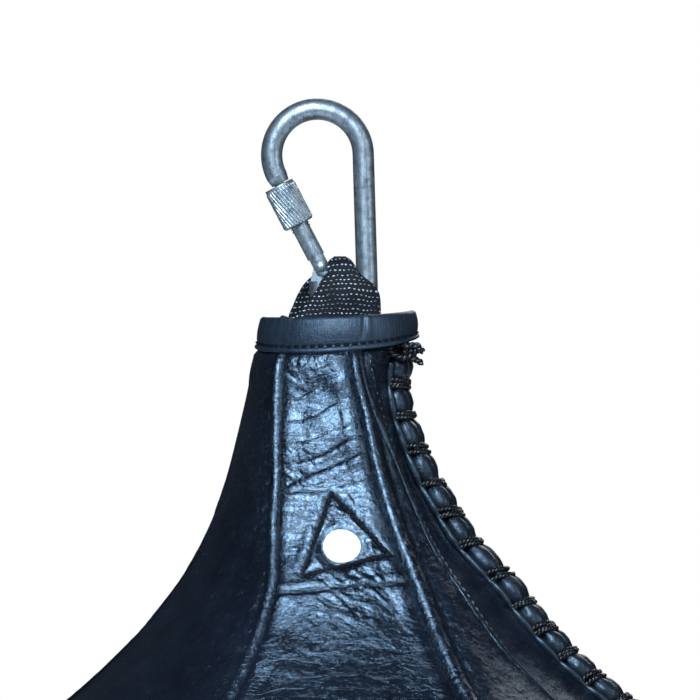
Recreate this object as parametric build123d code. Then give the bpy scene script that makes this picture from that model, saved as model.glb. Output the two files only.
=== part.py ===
from build123d import *
import os
from math import acos, asin, atan2, cos, degrees, radians, sin, sqrt

# Uppercut bag: a stuffed six-gore leather teardrop, hung from a screw-sleeve carabiner.
# Millimetres. The origin is the hang point, the inner top of the carabiner's large bow.
# +Z is up, +X is towards the carabiner's spine and the bag's laced seam, -Y is the front.

os.makedirs("parts", exist_ok=True)

# ---------------------------------------------------------------- driving dimensions
# carabiner, 100 x 50 with a wire just under 10 thick
WIRE_R = 4.75
TOP_BOW_R = 20.25            # centreline radius of the large bow
LOW_BOW_R = 10.5             # centreline radius of the small bow
LOW_BOW_X = 11.5
LOW_BOW_Z = -74.3
TOP_BOW_Z = -(TOP_BOW_R - WIRE_R)
PIVOT_X = 1.7
PIVOT_Z = -64.9
GATE_TILT = 27.6             # degrees of the gate from upright

# gate, latch and rivet; "reach" is the distance from the pivot along the gate
GATE_R = 4.0
THREAD_R = 4.3
THREAD_PITCH = 1.5
THREAD_FROM = 18.5
GATE_TIP_REACH = 40.2
RIVET_SEAT_Y = 3.5           # flat seats cut in the gate's round cheeks for the rivet heads
GATE_SLOT_Y = 2.1
TAB_Y = 2.0
TAB_R = 3.3
LATCH_REACH = 39.0
LATCH_R = 1.0
HOOK_Y = 1.4                 # half thickness of the nose's flat hook
HOOK_BACK = 1.9              # the hook's outline, measured across the gate from its axis
HOOK_FRONT = 2.6
HOOK_THROAT = 1.2
HOOK_LIP = 0.9
HOOK_LIP_REACH = LATCH_REACH - LATCH_R - 0.15
HOOK_TIP_REACH = HOOK_LIP_REACH - 0.8
RIVET_R = 1.5
RIVET_HEAD_R = 2.4
RIVET_EDGE = 0.4             # straight edge of a rivet head, under its dome
RIVET_RISE = 0.8
SLOT_ROOM = 1.6              # the slot runs past the tab's round end, for the plunger
RUNNING = 0.05               # radial clearance of a running fit
SPRING_BORE_R = 2.1
SPRING_COIL_R = 1.55
SPRING_WIRE_R = 0.3
SPRING_PITCH = 1.5
SPRING_LENGTH = 13.5
PLUNGER_HEAD = 3.0
PLUNGER_STEM_R = 0.9
PLUNGER_STEM = 5.0

# screw sleeve
SLEEVE_R = 7.1
SLEEVE_FROM = 21.0
SLEEVE_TO = 40.6
SLEEVE_MOUTH_R = 6.1
SLEEVE_MOUTH_DEPTH = 9.0

# bag outline: a concave neck arc that runs into a spherical belly
BAG_X = 11.0                 # the bag's own axis
NECK_R = 35.5
NECK_Z = -103.2
NECK_SLOPE = 6.0             # degrees that the wall leans out under the collar
NECK_ARC_R = 230.0
BELLY_R = 200.0
LEATHER = 2.5
LINING_FROM = 2.75           # depths below the leather's outer face
LINING_TO = 3.5
FILL_DEPTH = 3.7
STRAP_TO = 5.6
GORES = 6
GORE_GAP = 0.1               # degrees between two gores
BASE_HOLE_R = 38.0
BASE_PATCH_R = 62.0
BASE_PATCH_T = 2.5

# collar
COLLAR_R = 36.3
COLLAR_WALL = 3.8
COLLAR_TOP = -87.0
COLLAR_LINING_WALL = 1.5

# webbing
WEB_WIDTH = 39.0
WEB_T = 2.6
WEB_GAP = 7.2                # half the gap between its two legs, beside the wire
WEB_CROWN_Z = -61.0
WEB_NECK_FROM_X = 7.8        # where it is gathered between the carabiner's two legs
WEB_NECK_TO_X = 16.3
WEB_BEND_Z = -100.0
WEB_END_Y = 31.0
WEB_END_Z = -150.0
STRAP_TOP_Z = -128.0
STRAP_END_Z = -212.0

# anchor rivets
ANCHOR_Z = -186.0
CAP_R = 8.2
CAP_RISE = 2.2
CAP_SEAT = 0.35              # the cap's rim stands this far off the leather's plain face
CAP_RIM = 0.3
SHANK_R = 2.0
WASHER_R = 7.0
WASHER_T = 1.0

# laced opening
LACE_END_Z = -296.0
FACING_WIDTH = 16.0
FACING_T = 1.4
LIP_R = 4.6
LIP_CORE_R = 2.6
LIP_Y = 5.0
LACE_R = 1.6
LACE_PITCH = 15.5
KNOT_R = 4.4
STUB_LENGTH = 4.0
KNOT_GAP, KNOT_SIDE, KNOT_DROP = 1.2, 3.0, 2.5     # the knot's place beside the top of a lip

# ---------------------------------------------------------------- derived geometry
WIRE_AXIS_Z = LOW_BOW_Z - LOW_BOW_R     # the bag swings about this line, along X

slope = radians(NECK_SLOPE)
neck_centre = (NECK_R + NECK_ARC_R * cos(slope), NECK_Z + NECK_ARC_R * sin(slope))
belly_drop = sqrt((NECK_ARC_R + BELLY_R) ** 2 - neck_centre[0] ** 2)
belly_z = neck_centre[1] - belly_drop
BLEND_TILT = degrees(atan2(belly_drop, neck_centre[0]))     # where neck meets belly

gate_dir = Vector(-sin(radians(GATE_TILT)), 0, cos(radians(GATE_TILT)))
pivot = Vector(PIVOT_X, 0, PIVOT_Z)
gate_plane = Plane(origin=pivot, x_dir=(0, 1, 0), z_dir=gate_dir)


def save(part, node):
    """Write one node."""
    part.label = node
    export_step(part, f"parts/{node}.step")


def along_gate(reach, radius, length):
    """A cylinder on the gate's axis, starting at the given reach from the pivot."""
    return gate_plane * Pos(0, 0, reach) * Cylinder(
        radius, length, align=(Align.CENTER, Align.CENTER, Align.MIN))


def cross_pin(point, radius, half_length):
    """A cylinder across the carabiner, along Y, centred on a point."""
    return Pos(point.X, 0, point.Z) * Rot(90, 0, 0) * Cylinder(radius, 2 * half_length)


def wall_section(outer, inner, top_tilt, end_angle):
    """Half section of a layer of the bag's wall, from a neck tilt to a belly angle.

    outer and inner are the layer's faces, as offsets outwards from the leather's face.
    """
    neck_out, neck_in = NECK_ARC_R - outer, NECK_ARC_R - inner
    belly_out, belly_in = BELLY_R + outer, BELLY_R + inner
    neck_sweep = BLEND_TILT - top_tilt
    belly_sweep = end_angle - BLEND_TILT
    belly_centre = (0, belly_z)
    out_neck = CenterArc(neck_centre, neck_out, 180 + top_tilt, neck_sweep)
    out_belly = CenterArc(belly_centre, belly_out, BLEND_TILT, belly_sweep)
    in_neck = CenterArc(neck_centre, neck_in, 180 + top_tilt, neck_sweep)
    in_belly = CenterArc(belly_centre, belly_in, BLEND_TILT, belly_sweep)
    top = Line(out_neck @ 0, in_neck @ 0)
    end = Line(out_belly @ 1, in_belly @ 1)
    return Plane.XZ * make_face([out_neck, out_belly, end, in_belly, in_neck, top])


def tilt_at(z, depth=0.0):
    """The neck wall's tilt, in degrees, at a height."""
    return degrees(asin((neck_centre[1] - z) / (NECK_ARC_R + depth)))


def belly_angle_at_radius(radius):
    """The belly angle, under the equator, where the wall is this far from the axis."""
    return -degrees(acos(radius / BELLY_R))


def on_bag(part):
    """Move a part from its own axis to the bag's axis."""
    return Pos(BAG_X, 0, 0) * part


def slab(y_from, y_to, x_from, x_to, z_from, z_to):
    """A box given by its limits."""
    return Pos((x_from + x_to) / 2, (y_from + y_to) / 2, (z_from + z_to) / 2) * Box(
        x_to - x_from, y_to - y_from, z_to - z_from)


# ---------------------------------------------------------------- carabiner
def make_carabiner_body():
    """Bent wire: nose, large bow, spine, small bow, and a flat tab for the gate."""
    bow_gap = Vector(LOW_BOW_X, 0, LOW_BOW_Z - TOP_BOW_Z)
    spine_angle = degrees(atan2(bow_gap.Z, bow_gap.X))
    spine_angle += degrees(acos((TOP_BOW_R - LOW_BOW_R) / bow_gap.length))
    nose_angle = 180 + GATE_TILT
    top = CenterArc((0, TOP_BOW_Z), TOP_BOW_R, nose_angle, spine_angle - nose_angle)
    low = CenterArc((LOW_BOW_X, LOW_BOW_Z), LOW_BOW_R, spine_angle, -180 - spine_angle)
    leg_top = (LOW_BOW_X - LOW_BOW_R, LOW_BOW_Z + 3.0)
    spine = Line(top @ 1, low @ 0)
    leg = Line(low @ 1, leg_top)
    path = Plane.XZ * Wire([top, spine, low, leg])
    body = sweep((path ^ 0) * Circle(WIRE_R), path=path)

    # the nose narrows above the sleeve's mouth and ends in a flat hook for the latch pin
    nose_start = Vector(-TOP_BOW_R * cos(radians(GATE_TILT)), 0,
                        TOP_BOW_Z - TOP_BOW_R * sin(radians(GATE_TILT)))
    nose_reach = (nose_start - pivot).dot(gate_dir)
    nose_plane = Plane(origin=nose_start, x_dir=(0, 1, 0), z_dir=-gate_dir)
    neck_length = nose_reach - SLEEVE_TO - 0.4
    nose = nose_plane * loft([Circle(WIRE_R), Pos(0, 0, neck_length) * Circle(4.0)])
    inward = Vector(cos(radians(GATE_TILT)), 0, sin(radians(GATE_TILT)))
    hook_plane = Plane(origin=pivot, x_dir=inward, z_dir=(0, -1, 0))
    root_reach, throat_reach = SLEEVE_TO + 1.0, LATCH_REACH + LATCH_R + 0.5
    hook_outline = Polyline(
        (-HOOK_BACK, root_reach), (HOOK_FRONT, root_reach), (HOOK_FRONT, throat_reach),
        (-HOOK_THROAT, throat_reach), (-HOOK_THROAT, HOOK_LIP_REACH), (HOOK_LIP, HOOK_LIP_REACH),
        (HOOK_LIP, HOOK_TIP_REACH), (-HOOK_BACK, HOOK_TIP_REACH), (-HOOK_BACK, root_reach))
    hook = hook_plane * extrude(make_face(hook_outline), HOOK_Y, both=True)

    # the tab: flat cheeks run from the wire's end to an eye round the rivet
    tab_outline = make_hull([
        *(Pos(PIVOT_X, PIVOT_Z) * Circle(TAB_R)).edges(),
        *(Pos(leg_top[0], leg_top[1]) * Circle(3.9)).edges(),
    ])
    tab = Plane.XZ * extrude(tab_outline, TAB_Y, both=True)
    body = body + nose + hook + tab
    return body - cross_pin(pivot, RIVET_R, TAB_Y + 1)


def make_gate_bar():
    """Round bar with a threaded middle, a fork round the tab and a slot at its tip."""
    bar = along_gate(0, GATE_R, GATE_TIP_REACH)
    turns = int((SLEEVE_FROM + 11 - THREAD_FROM) / THREAD_PITCH)
    for turn in range(turns):
        bar += along_gate(THREAD_FROM + turn * THREAD_PITCH, THREAD_R, THREAD_PITCH * 0.55)
    bar += along_gate(-GATE_R, GATE_R, GATE_R) & cross_pin(pivot, GATE_R, GATE_R)
    slot_length = GATE_R + TAB_R + SLOT_ROOM
    slot = gate_plane * Pos(0, 0, TAB_R + SLOT_ROOM - slot_length / 2) * Box(
        2 * GATE_SLOT_Y, 20, slot_length)
    for side in (-1, 1):
        seat = Pos(0, side * (RIVET_SEAT_Y + 1), 0) * cross_pin(pivot, RIVET_HEAD_R + 0.3, 1)
        slot += seat
    tip_slot_length = GATE_TIP_REACH - HOOK_TIP_REACH + 0.7
    tip_slot = gate_plane * Pos(0, 0, GATE_TIP_REACH - tip_slot_length / 2) * Box(
        2 * HOOK_Y + 0.4, 20, tip_slot_length)
    spring_bore = along_gate(TAB_R, SPRING_BORE_R, 18)
    rivet_hole = cross_pin(pivot, RIVET_R + RUNNING, GATE_R + 1)
    latch_hole = cross_pin(pivot + gate_dir * LATCH_REACH, LATCH_R, GATE_R)
    return bar - slot - tip_slot - spring_bore - rivet_hole - latch_hole


def make_gate_rivet():
    """Pivot rivet with a domed head on each side of the gate's fork."""
    base_y = RIVET_SEAT_Y + 0.1
    rivet = cross_pin(pivot, RIVET_R, base_y + RIVET_EDGE)
    dome_r = (RIVET_HEAD_R ** 2 + RIVET_RISE ** 2) / (2 * RIVET_RISE)
    for side in (-1, 1):
        height = RIVET_EDGE + RIVET_RISE
        head = Pos(0, side * (base_y + height / 2), 0) * cross_pin(pivot, RIVET_HEAD_R, height / 2)
        dome_y = side * (base_y + height - dome_r)
        rivet += head & (Pos(PIVOT_X, dome_y, PIVOT_Z) * Sphere(dome_r))
    return rivet


def make_latch_pin():
    """Pin across the gate's tip, caught by the nose's hook."""
    return cross_pin(pivot + gate_dir * LATCH_REACH, LATCH_R, GATE_R - 0.6)


def make_spring_plunger():
    """Plunger that rides on the tab's round end and closes the gate."""
    head = along_gate(TAB_R + RUNNING, SPRING_BORE_R - RUNNING, PLUNGER_HEAD)
    return head + along_gate(TAB_R + PLUNGER_HEAD - 1, PLUNGER_STEM_R, PLUNGER_STEM)


def make_gate_spring():
    """Compression spring inside the gate's bore, behind the plunger's head."""
    helix = Helix(pitch=SPRING_PITCH, height=SPRING_LENGTH, radius=SPRING_COIL_R)
    coil = sweep((helix ^ 0) * Circle(SPRING_WIRE_R), path=helix, is_frenet=True)
    return gate_plane * Pos(0, 0, TAB_R + PLUNGER_HEAD + 0.5) * coil


def make_lock_sleeve():
    """Screw sleeve: a running bore on the thread and a wide mouth over the nose."""
    length = SLEEVE_TO - SLEEVE_FROM
    sleeve = along_gate(SLEEVE_FROM, SLEEVE_R, length)
    sleeve = chamfer(sleeve.edges().filter_by(GeomType.CIRCLE), 0.7)
    bore = along_gate(SLEEVE_FROM - 1, THREAD_R + RUNNING, length + 2)
    mouth = along_gate(SLEEVE_TO - SLEEVE_MOUTH_DEPTH, SLEEVE_MOUTH_R, SLEEVE_MOUTH_DEPTH + 1)
    return sleeve - bore - mouth


# ---------------------------------------------------------------- webbing and straps
def webbing_leg(side, clearance=0.0):
    """One wide leg: down beside the wire, then out towards the bag's wall."""
    inner, outer = WEB_GAP - clearance, WEB_GAP + WEB_T + clearance
    top = WIRE_AXIS_Z - 0.5 + clearance
    end = WEB_END_Z - clearance
    outline = Polyline(
        (side * inner, top), (side * outer, top), (side * outer, WEB_BEND_Z),
        (side * (WEB_END_Y + clearance), end), (side * (WEB_END_Y - WEB_T - clearance), end),
        (side * inner, WEB_BEND_Z), (side * inner, top))
    half_width = WEB_WIDTH / 2 + clearance
    return Pos(BAG_X, 0, 0) * extrude(Plane.YZ * make_face(outline), half_width, both=True)


def make_webbing_loop():
    """Webbing gathered through the small bow, with two wide legs that go down the neck."""
    outer_y = WEB_GAP + WEB_T
    crown_z = WEB_CROWN_Z - outer_y
    width = WEB_NECK_TO_X - WEB_NECK_FROM_X
    middle = (WEB_NECK_FROM_X + WEB_NECK_TO_X) / 2
    foot_z = WIRE_AXIS_Z - 1.5
    arch = Pos(0, crown_z) * Circle(outer_y)
    arch += Pos(0, (crown_z + foot_z) / 2) * Rectangle(2 * outer_y, crown_z - foot_z)
    hollow_z = crown_z - 2.0
    arch -= Pos(0, hollow_z) * Circle(WEB_GAP)
    arch -= Pos(0, hollow_z - 20) * Rectangle(2 * WEB_GAP, 40)
    loop = Pos(middle, 0, 0) * extrude(Plane.YZ * arch, width / 2, both=True)
    return loop + webbing_leg(-1) + webbing_leg(1)


def strap_slice(side, clearance=0.0):
    """Webbing that follows the lining's inner face under the gore's middle."""
    shell = revolve(wall_section(
        -(LINING_TO + 0.1 - clearance), -(STRAP_TO + clearance),
        tilt_at(STRAP_TOP_Z + clearance), BLEND_TILT - 2), Axis.Z, 360)
    reach = 130
    y_from, y_to = sorted((side * 5, side * reach))
    half_width = WEB_WIDTH / 2 + clearance
    window = slab(y_from, y_to, -half_width, half_width,
                  STRAP_END_Z - clearance, STRAP_TOP_Z + clearance)
    return on_bag(shell & window)


def anchor_plane(side, depth=0.0):
    """Plane on the gore's face at the anchor rivet, with its normal pointing out."""
    tilt = radians(tilt_at(ANCHOR_Z))
    radius = neck_centre[0] - (NECK_ARC_R + depth) * cos(tilt)
    height = neck_centre[1] - (NECK_ARC_R + depth) * sin(tilt)
    return Plane(origin=(BAG_X, side * radius, height), x_dir=(1, 0, 0),
                 z_dir=(0, side * cos(tilt), sin(tilt)))


def anchor_bore(side, radius, clearance):
    """The hole that an anchor rivet's shank needs through every layer."""
    return anchor_plane(side) * Cylinder(radius + clearance, 16)


def make_anchor_cap(side):
    """Domed cap with its shank through gore, lining and strap."""
    dome_r = (CAP_R ** 2 + CAP_RISE ** 2) / (2 * CAP_RISE)
    dome_foot = CAP_SEAT + CAP_RIM
    dome = Pos(0, 0, dome_foot + CAP_RISE - dome_r) * Sphere(dome_r)
    dome &= Pos(0, 0, dome_foot + CAP_RISE / 2) * Cylinder(CAP_R, CAP_RISE)
    rim = Pos(0, 0, CAP_SEAT + CAP_RIM / 2) * Cylinder(CAP_R, CAP_RIM)
    shank_length = STRAP_TO + CAP_SEAT + 0.2
    shank = Pos(0, 0, CAP_SEAT - shank_length / 2) * Cylinder(SHANK_R, shank_length)
    return anchor_plane(side) * (dome + rim + shank)


def make_anchor_washer(side):
    """Washer that the shank is clenched over, inside the strap."""
    washer = Cylinder(WASHER_R, WASHER_T) - Cylinder(SHANK_R + 0.02, WASHER_T)
    return anchor_plane(side) * Pos(0, 0, -STRAP_TO - 0.6 - WASHER_T / 2) * washer


# ---------------------------------------------------------------- leather, lining, filling
def make_gore(number):
    """One leather gore: a sixth of the wall from the collar to the base patch."""
    sweep_angle = 360 / GORES - GORE_GAP
    start = (number - 1) * 360 / GORES + GORE_GAP / 2
    section = wall_section(0, -LEATHER, NECK_SLOPE, belly_angle_at_radius(BASE_HOLE_R))
    gore = on_bag(Rot(0, 0, start) * revolve(section, Axis.Z, sweep_angle))
    for side in (-1, 1):
        gore -= anchor_bore(side, SHANK_R, 0.1)
    return gore


def make_lining():
    """Cloth lining inside the gores."""
    section = wall_section(-LINING_FROM, -LINING_TO, NECK_SLOPE,
                           belly_angle_at_radius(BASE_HOLE_R))
    lining = on_bag(revolve(section, Axis.Z, 360))
    for side in (-1, 1):
        lining -= anchor_bore(side, SHANK_R, 0.1)
    return lining


def make_strap(side):
    """Inner strap from the neck to the anchor rivet."""
    return strap_slice(side) - anchor_bore(side, SHANK_R, 0.1)


def make_filling():
    """Packed filling, up to just under the carabiner, round the webbing and the straps."""
    fill_top = tilt_at(NECK_Z - 3.0, FILL_DEPTH)
    neck_r = NECK_ARC_R + FILL_DEPTH
    belly_r = BELLY_R - FILL_DEPTH
    neck = CenterArc(neck_centre, neck_r, 180 + fill_top, BLEND_TILT - fill_top)
    belly = CenterArc((0, belly_z), belly_r, BLEND_TILT, -90 - BLEND_TILT)
    axis_top = (0, (neck @ 0).Y)
    section = make_face([neck, belly, Line(belly @ 1, axis_top), Line(axis_top, neck @ 0)])
    filling = on_bag(revolve(Plane.XZ * section, Axis.Z, 360))
    for side in (-1, 1):
        filling -= webbing_leg(side, 0.3)
        filling -= strap_slice(side, 0.1)
        filling -= anchor_plane(side, FILL_DEPTH) * Pos(0, 0, -2) * Cylinder(
            WASHER_R + 0.4, 8)
    return filling


def make_collar_band():
    """Folded leather band round the mouth."""
    height = COLLAR_TOP - NECK_Z - 0.1
    band = Cylinder(COLLAR_R, height) - Cylinder(COLLAR_R - COLLAR_WALL, height)
    band = fillet(band.edges().filter_by(GeomType.CIRCLE).group_by(Axis.Z)[-1], 1.2)
    return on_bag(Pos(0, 0, COLLAR_TOP - height / 2) * band)


def make_collar_lining():
    """Cloth ring that lines the collar's inner face."""
    height = COLLAR_TOP - NECK_Z - 1.1
    outer = COLLAR_R - COLLAR_WALL - 0.1
    ring = Cylinder(outer, height) - Cylinder(outer - COLLAR_LINING_WALL, height)
    return on_bag(Pos(0, 0, COLLAR_TOP - 1 - height / 2) * ring)


def make_base_patch():
    """Round leather patch over the point where the gores meet."""
    centre = (0, belly_z)
    start = belly_angle_at_radius(BASE_PATCH_R)
    outer = CenterArc(centre, BELLY_R + 0.1 + BASE_PATCH_T, start, -90 - start)
    inner = CenterArc(centre, BELLY_R + 0.1, start, -90 - start)
    section = make_face([outer, inner, Line(outer @ 0, inner @ 0), Line(outer @ 1, inner @ 1)])
    return on_bag(revolve(Plane.XZ * section, Axis.Z, 360))


# ---------------------------------------------------------------- laced opening, on +X
def make_facing(side):
    """Strip sewn along one edge of the opening."""
    shell = revolve(wall_section(0.15 + FACING_T, 0.15, NECK_SLOPE + 0.6, BLEND_TILT - 13),
                    Axis.Z, 360)
    y_from, y_to = sorted((side * 0.3, side * FACING_WIDTH))
    window = slab(y_from, y_to, 5, 220, LACE_END_Z - 12, NECK_Z)
    return on_bag(shell & window)


def lip_path(side):
    """Line of a rolled lip: it stands off the wall so that the lace can pass under it."""
    off = FACING_T + 0.45 + LIP_R
    start_tilt = NECK_SLOPE + 2.2
    neck = CenterArc(neck_centre, NECK_ARC_R - off, 180 + start_tilt, BLEND_TILT - start_tilt)
    end_angle = degrees(asin((LACE_END_Z - belly_z) / BELLY_R))
    belly = CenterArc((0, belly_z), BELLY_R + off, BLEND_TILT, end_angle - BLEND_TILT)
    return Pos(BAG_X, side * LIP_Y, 0) * (Plane.XZ * Wire([neck, belly]))


def make_lip(side):
    """Leather rolled round its cord."""
    path = lip_path(side)
    ring = Circle(LIP_R) - Circle(LIP_CORE_R + 0.05)
    return sweep((path ^ 0) * ring, path=path)


def make_lip_core(side):
    """Cord inside a rolled lip."""
    path = lip_path(side)
    return sweep((path ^ 0) * Circle(LIP_CORE_R), path=path)


def lace_stations():
    """Planes across the lips, one for each wrap of the lace; local y points outwards."""
    tilt = radians(NECK_SLOPE + 3.6)
    blend = radians(BLEND_TILT)
    neck_length = NECK_ARC_R * (blend - tilt)
    travelled = 0.0
    while True:
        if travelled < neck_length:
            lean = tilt + travelled / NECK_ARC_R
            radius = neck_centre[0] - NECK_ARC_R * cos(lean)
            height = neck_centre[1] - NECK_ARC_R * sin(lean)
        else:
            lean = blend - (travelled - neck_length) / BELLY_R
            radius = BELLY_R * cos(lean)
            height = belly_z + BELLY_R * sin(lean)
        if height < LACE_END_Z + 6:
            return
        yield Plane(origin=(BAG_X + radius, 0, height), x_dir=(0, 1, 0),
                    z_dir=(sin(lean), 0, -cos(lean)))
        travelled += LACE_PITCH


def make_lace():
    """Wraps of the lace, each one an arch over both lips."""
    half_width = LIP_Y + LIP_R + 0.25 + LACE_R
    foot = FACING_T + 0.3
    crown = FACING_T + 0.45 + 2 * LIP_R + 0.25 + LACE_R
    path = FilletPolyline((-half_width, foot), (-half_width, crown), (half_width, crown),
                          (half_width, foot), radius=5.0)
    wrap = sweep((path ^ 0) * Circle(LACE_R), path=path)
    return Compound([station.location * wrap for station in lace_stations()])


def make_lace_knot():
    """Knot at the top of the lacing, with two cut ends."""
    knot_centre = Vector(BAG_X + NECK_R + FACING_T + KNOT_R + KNOT_GAP,
                         -LIP_Y - KNOT_SIDE, NECK_Z - KNOT_DROP)
    pieces = [Pos(*knot_centre) * Sphere(KNOT_R)]
    for lean, turn in ((62, 20), (118, -15)):
        stub = Pos(0, 0, KNOT_R + 0.1 + STUB_LENGTH / 2) * Cylinder(LACE_R, STUB_LENGTH)
        pieces.append(Pos(*knot_centre) * Rot(0, lean, turn) * stub)
    return Compound(pieces)


save(make_carabiner_body(), "carabiner_body")
save(make_gate_bar(), "gate_bar")
save(make_gate_rivet(), "gate_rivet")
save(make_latch_pin(), "latch_pin")
save(make_spring_plunger(), "spring_plunger")
save(make_gate_spring(), "gate_spring")
save(make_lock_sleeve(), "lock_sleeve")

save(make_webbing_loop(), "webbing_loop")
for name, facing_way in (("front", -1), ("back", 1)):
    save(make_strap(facing_way), f"strap_{name}")
    save(make_anchor_cap(facing_way), f"anchor_cap_{name}")
    save(make_anchor_washer(facing_way), f"anchor_washer_{name}")
    save(make_facing(facing_way), f"facing_{name}")
    save(make_lip(facing_way), f"lip_{name}")
    save(make_lip_core(facing_way), f"lip_core_{name}")

for gore_number in range(1, GORES + 1):
    save(make_gore(gore_number), f"gore_{gore_number}")
save(make_lining(), "lining")
save(make_filling(), "filling")
save(make_collar_band(), "collar_band")
save(make_collar_lining(), "collar_lining")
save(make_base_patch(), "base_patch")
save(make_lace(), "lace")
save(make_lace_knot(), "lace_knot")
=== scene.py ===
"""Looks of the uppercut bag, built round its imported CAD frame. Lengths are millimetres until MM."""
from math import acos, asin, atan2, cos, degrees, exp, hypot, pi, radians, sin, sqrt

import bmesh
import bpy
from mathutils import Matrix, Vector, noise


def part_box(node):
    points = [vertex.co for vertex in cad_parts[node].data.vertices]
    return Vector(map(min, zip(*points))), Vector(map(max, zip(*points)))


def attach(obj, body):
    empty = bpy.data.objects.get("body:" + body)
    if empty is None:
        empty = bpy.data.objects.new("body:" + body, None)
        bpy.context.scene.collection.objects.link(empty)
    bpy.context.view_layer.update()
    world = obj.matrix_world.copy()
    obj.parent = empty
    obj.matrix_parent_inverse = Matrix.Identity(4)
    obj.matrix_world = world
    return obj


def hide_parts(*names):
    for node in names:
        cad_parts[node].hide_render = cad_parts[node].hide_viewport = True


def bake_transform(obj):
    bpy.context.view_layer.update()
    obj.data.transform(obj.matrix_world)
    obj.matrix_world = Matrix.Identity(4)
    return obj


MM = 0.001

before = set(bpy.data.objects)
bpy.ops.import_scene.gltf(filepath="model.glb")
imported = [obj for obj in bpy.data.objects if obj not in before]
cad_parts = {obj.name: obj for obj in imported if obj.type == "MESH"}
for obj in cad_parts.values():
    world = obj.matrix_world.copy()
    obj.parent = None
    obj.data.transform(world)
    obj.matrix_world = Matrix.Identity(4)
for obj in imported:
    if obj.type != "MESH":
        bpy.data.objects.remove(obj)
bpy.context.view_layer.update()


def box_mm(node):
    """A node's two corners in millimetres."""
    low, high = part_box(node)
    return Vector(low) / MM, Vector(high) / MM


# ---------------------------------------------------------------- places read from the frame
collar_low, collar_high = box_mm("collar_band")
patch_low = box_mm("base_patch")[0]
gore_high = box_mm("gore_2")[1]
lip_low = box_mm("lip_front")[0]
cap_low, cap_high = box_mm("anchor_cap_front")
sleeve_low, sleeve_high = box_mm("lock_sleeve")

BAG_X = (collar_low.x + collar_high.x) / 2
NECK_Z = gore_high.z                     # top of the leather, under the collar
LIP_END_Z = lip_low.z
ANCHOR_Z = (cap_low.z + cap_high.z) / 2

# outline of the bag, as it is in the CAD: a concave neck arc, then a spherical belly
NECK_R = 35.5
NECK_SLOPE = radians(6.0)
NECK_ARC_R = 230.0
BELLY_R = 200.0
BASE_PATCH_T = 2.5
NECK_CENTRE_R = NECK_R + NECK_ARC_R * cos(NECK_SLOPE)
NECK_CENTRE_Z = NECK_Z + NECK_ARC_R * sin(NECK_SLOPE)
BELLY_DROP = sqrt((NECK_ARC_R + BELLY_R) ** 2 - NECK_CENTRE_R ** 2)
BELLY_Z = NECK_CENTRE_Z - BELLY_DROP
BLEND_TILT = atan2(BELLY_DROP, NECK_CENTRE_R)
NECK_LENGTH = NECK_ARC_R * (BLEND_TILT - NECK_SLOPE)
SHELL_LENGTH = NECK_LENGTH + BELLY_R * (BLEND_TILT + acos(38.0 / BELLY_R))


# ---------------------------------------------------------------- small tools
def smooth_curve(points, x):
    """A smooth curve through a few given (x, value) points, with x going either way."""
    if points[0][0] > points[-1][0]:
        points = points[::-1]
    if x <= points[0][0]:
        return points[0][1]
    if x >= points[-1][0]:
        return points[-1][1]
    i = next(n for n in range(len(points) - 1) if x <= points[n + 1][0])
    (x0, y0), (x1, y1) = points[i], points[i + 1]

    def slope(n):
        if n <= 0 or n >= len(points) - 1:
            return 0.0
        return (points[n + 1][1] - points[n - 1][1]) / (points[n + 1][0] - points[n - 1][0])

    span = x1 - x0
    t = (x - x0) / span
    m0, m1 = slope(i) * span, slope(i + 1) * span
    return ((2 * t ** 3 - 3 * t ** 2 + 1) * y0 + (t ** 3 - 2 * t ** 2 + t) * m0
            + (3 * t ** 2 - 2 * t ** 3) * y1 + (t ** 3 - t ** 2) * m1)


def bump(distance, width):
    """A bell of height 1."""
    return exp(-(distance / width) ** 2)


def smoothstep(low, high, x):
    """0 below low, 1 above high, smooth between."""
    t = min(1.0, max(0.0, (x - low) / (high - low)))
    return t * t * (3 - 2 * t)


def mix(a, b, t):
    return a + (b - a) * t


def wave(x, y, z, size):
    """Smooth seeded noise, -1 to 1, with features of the given size."""
    return noise.noise(Vector((x, y, z)) / size)


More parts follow.
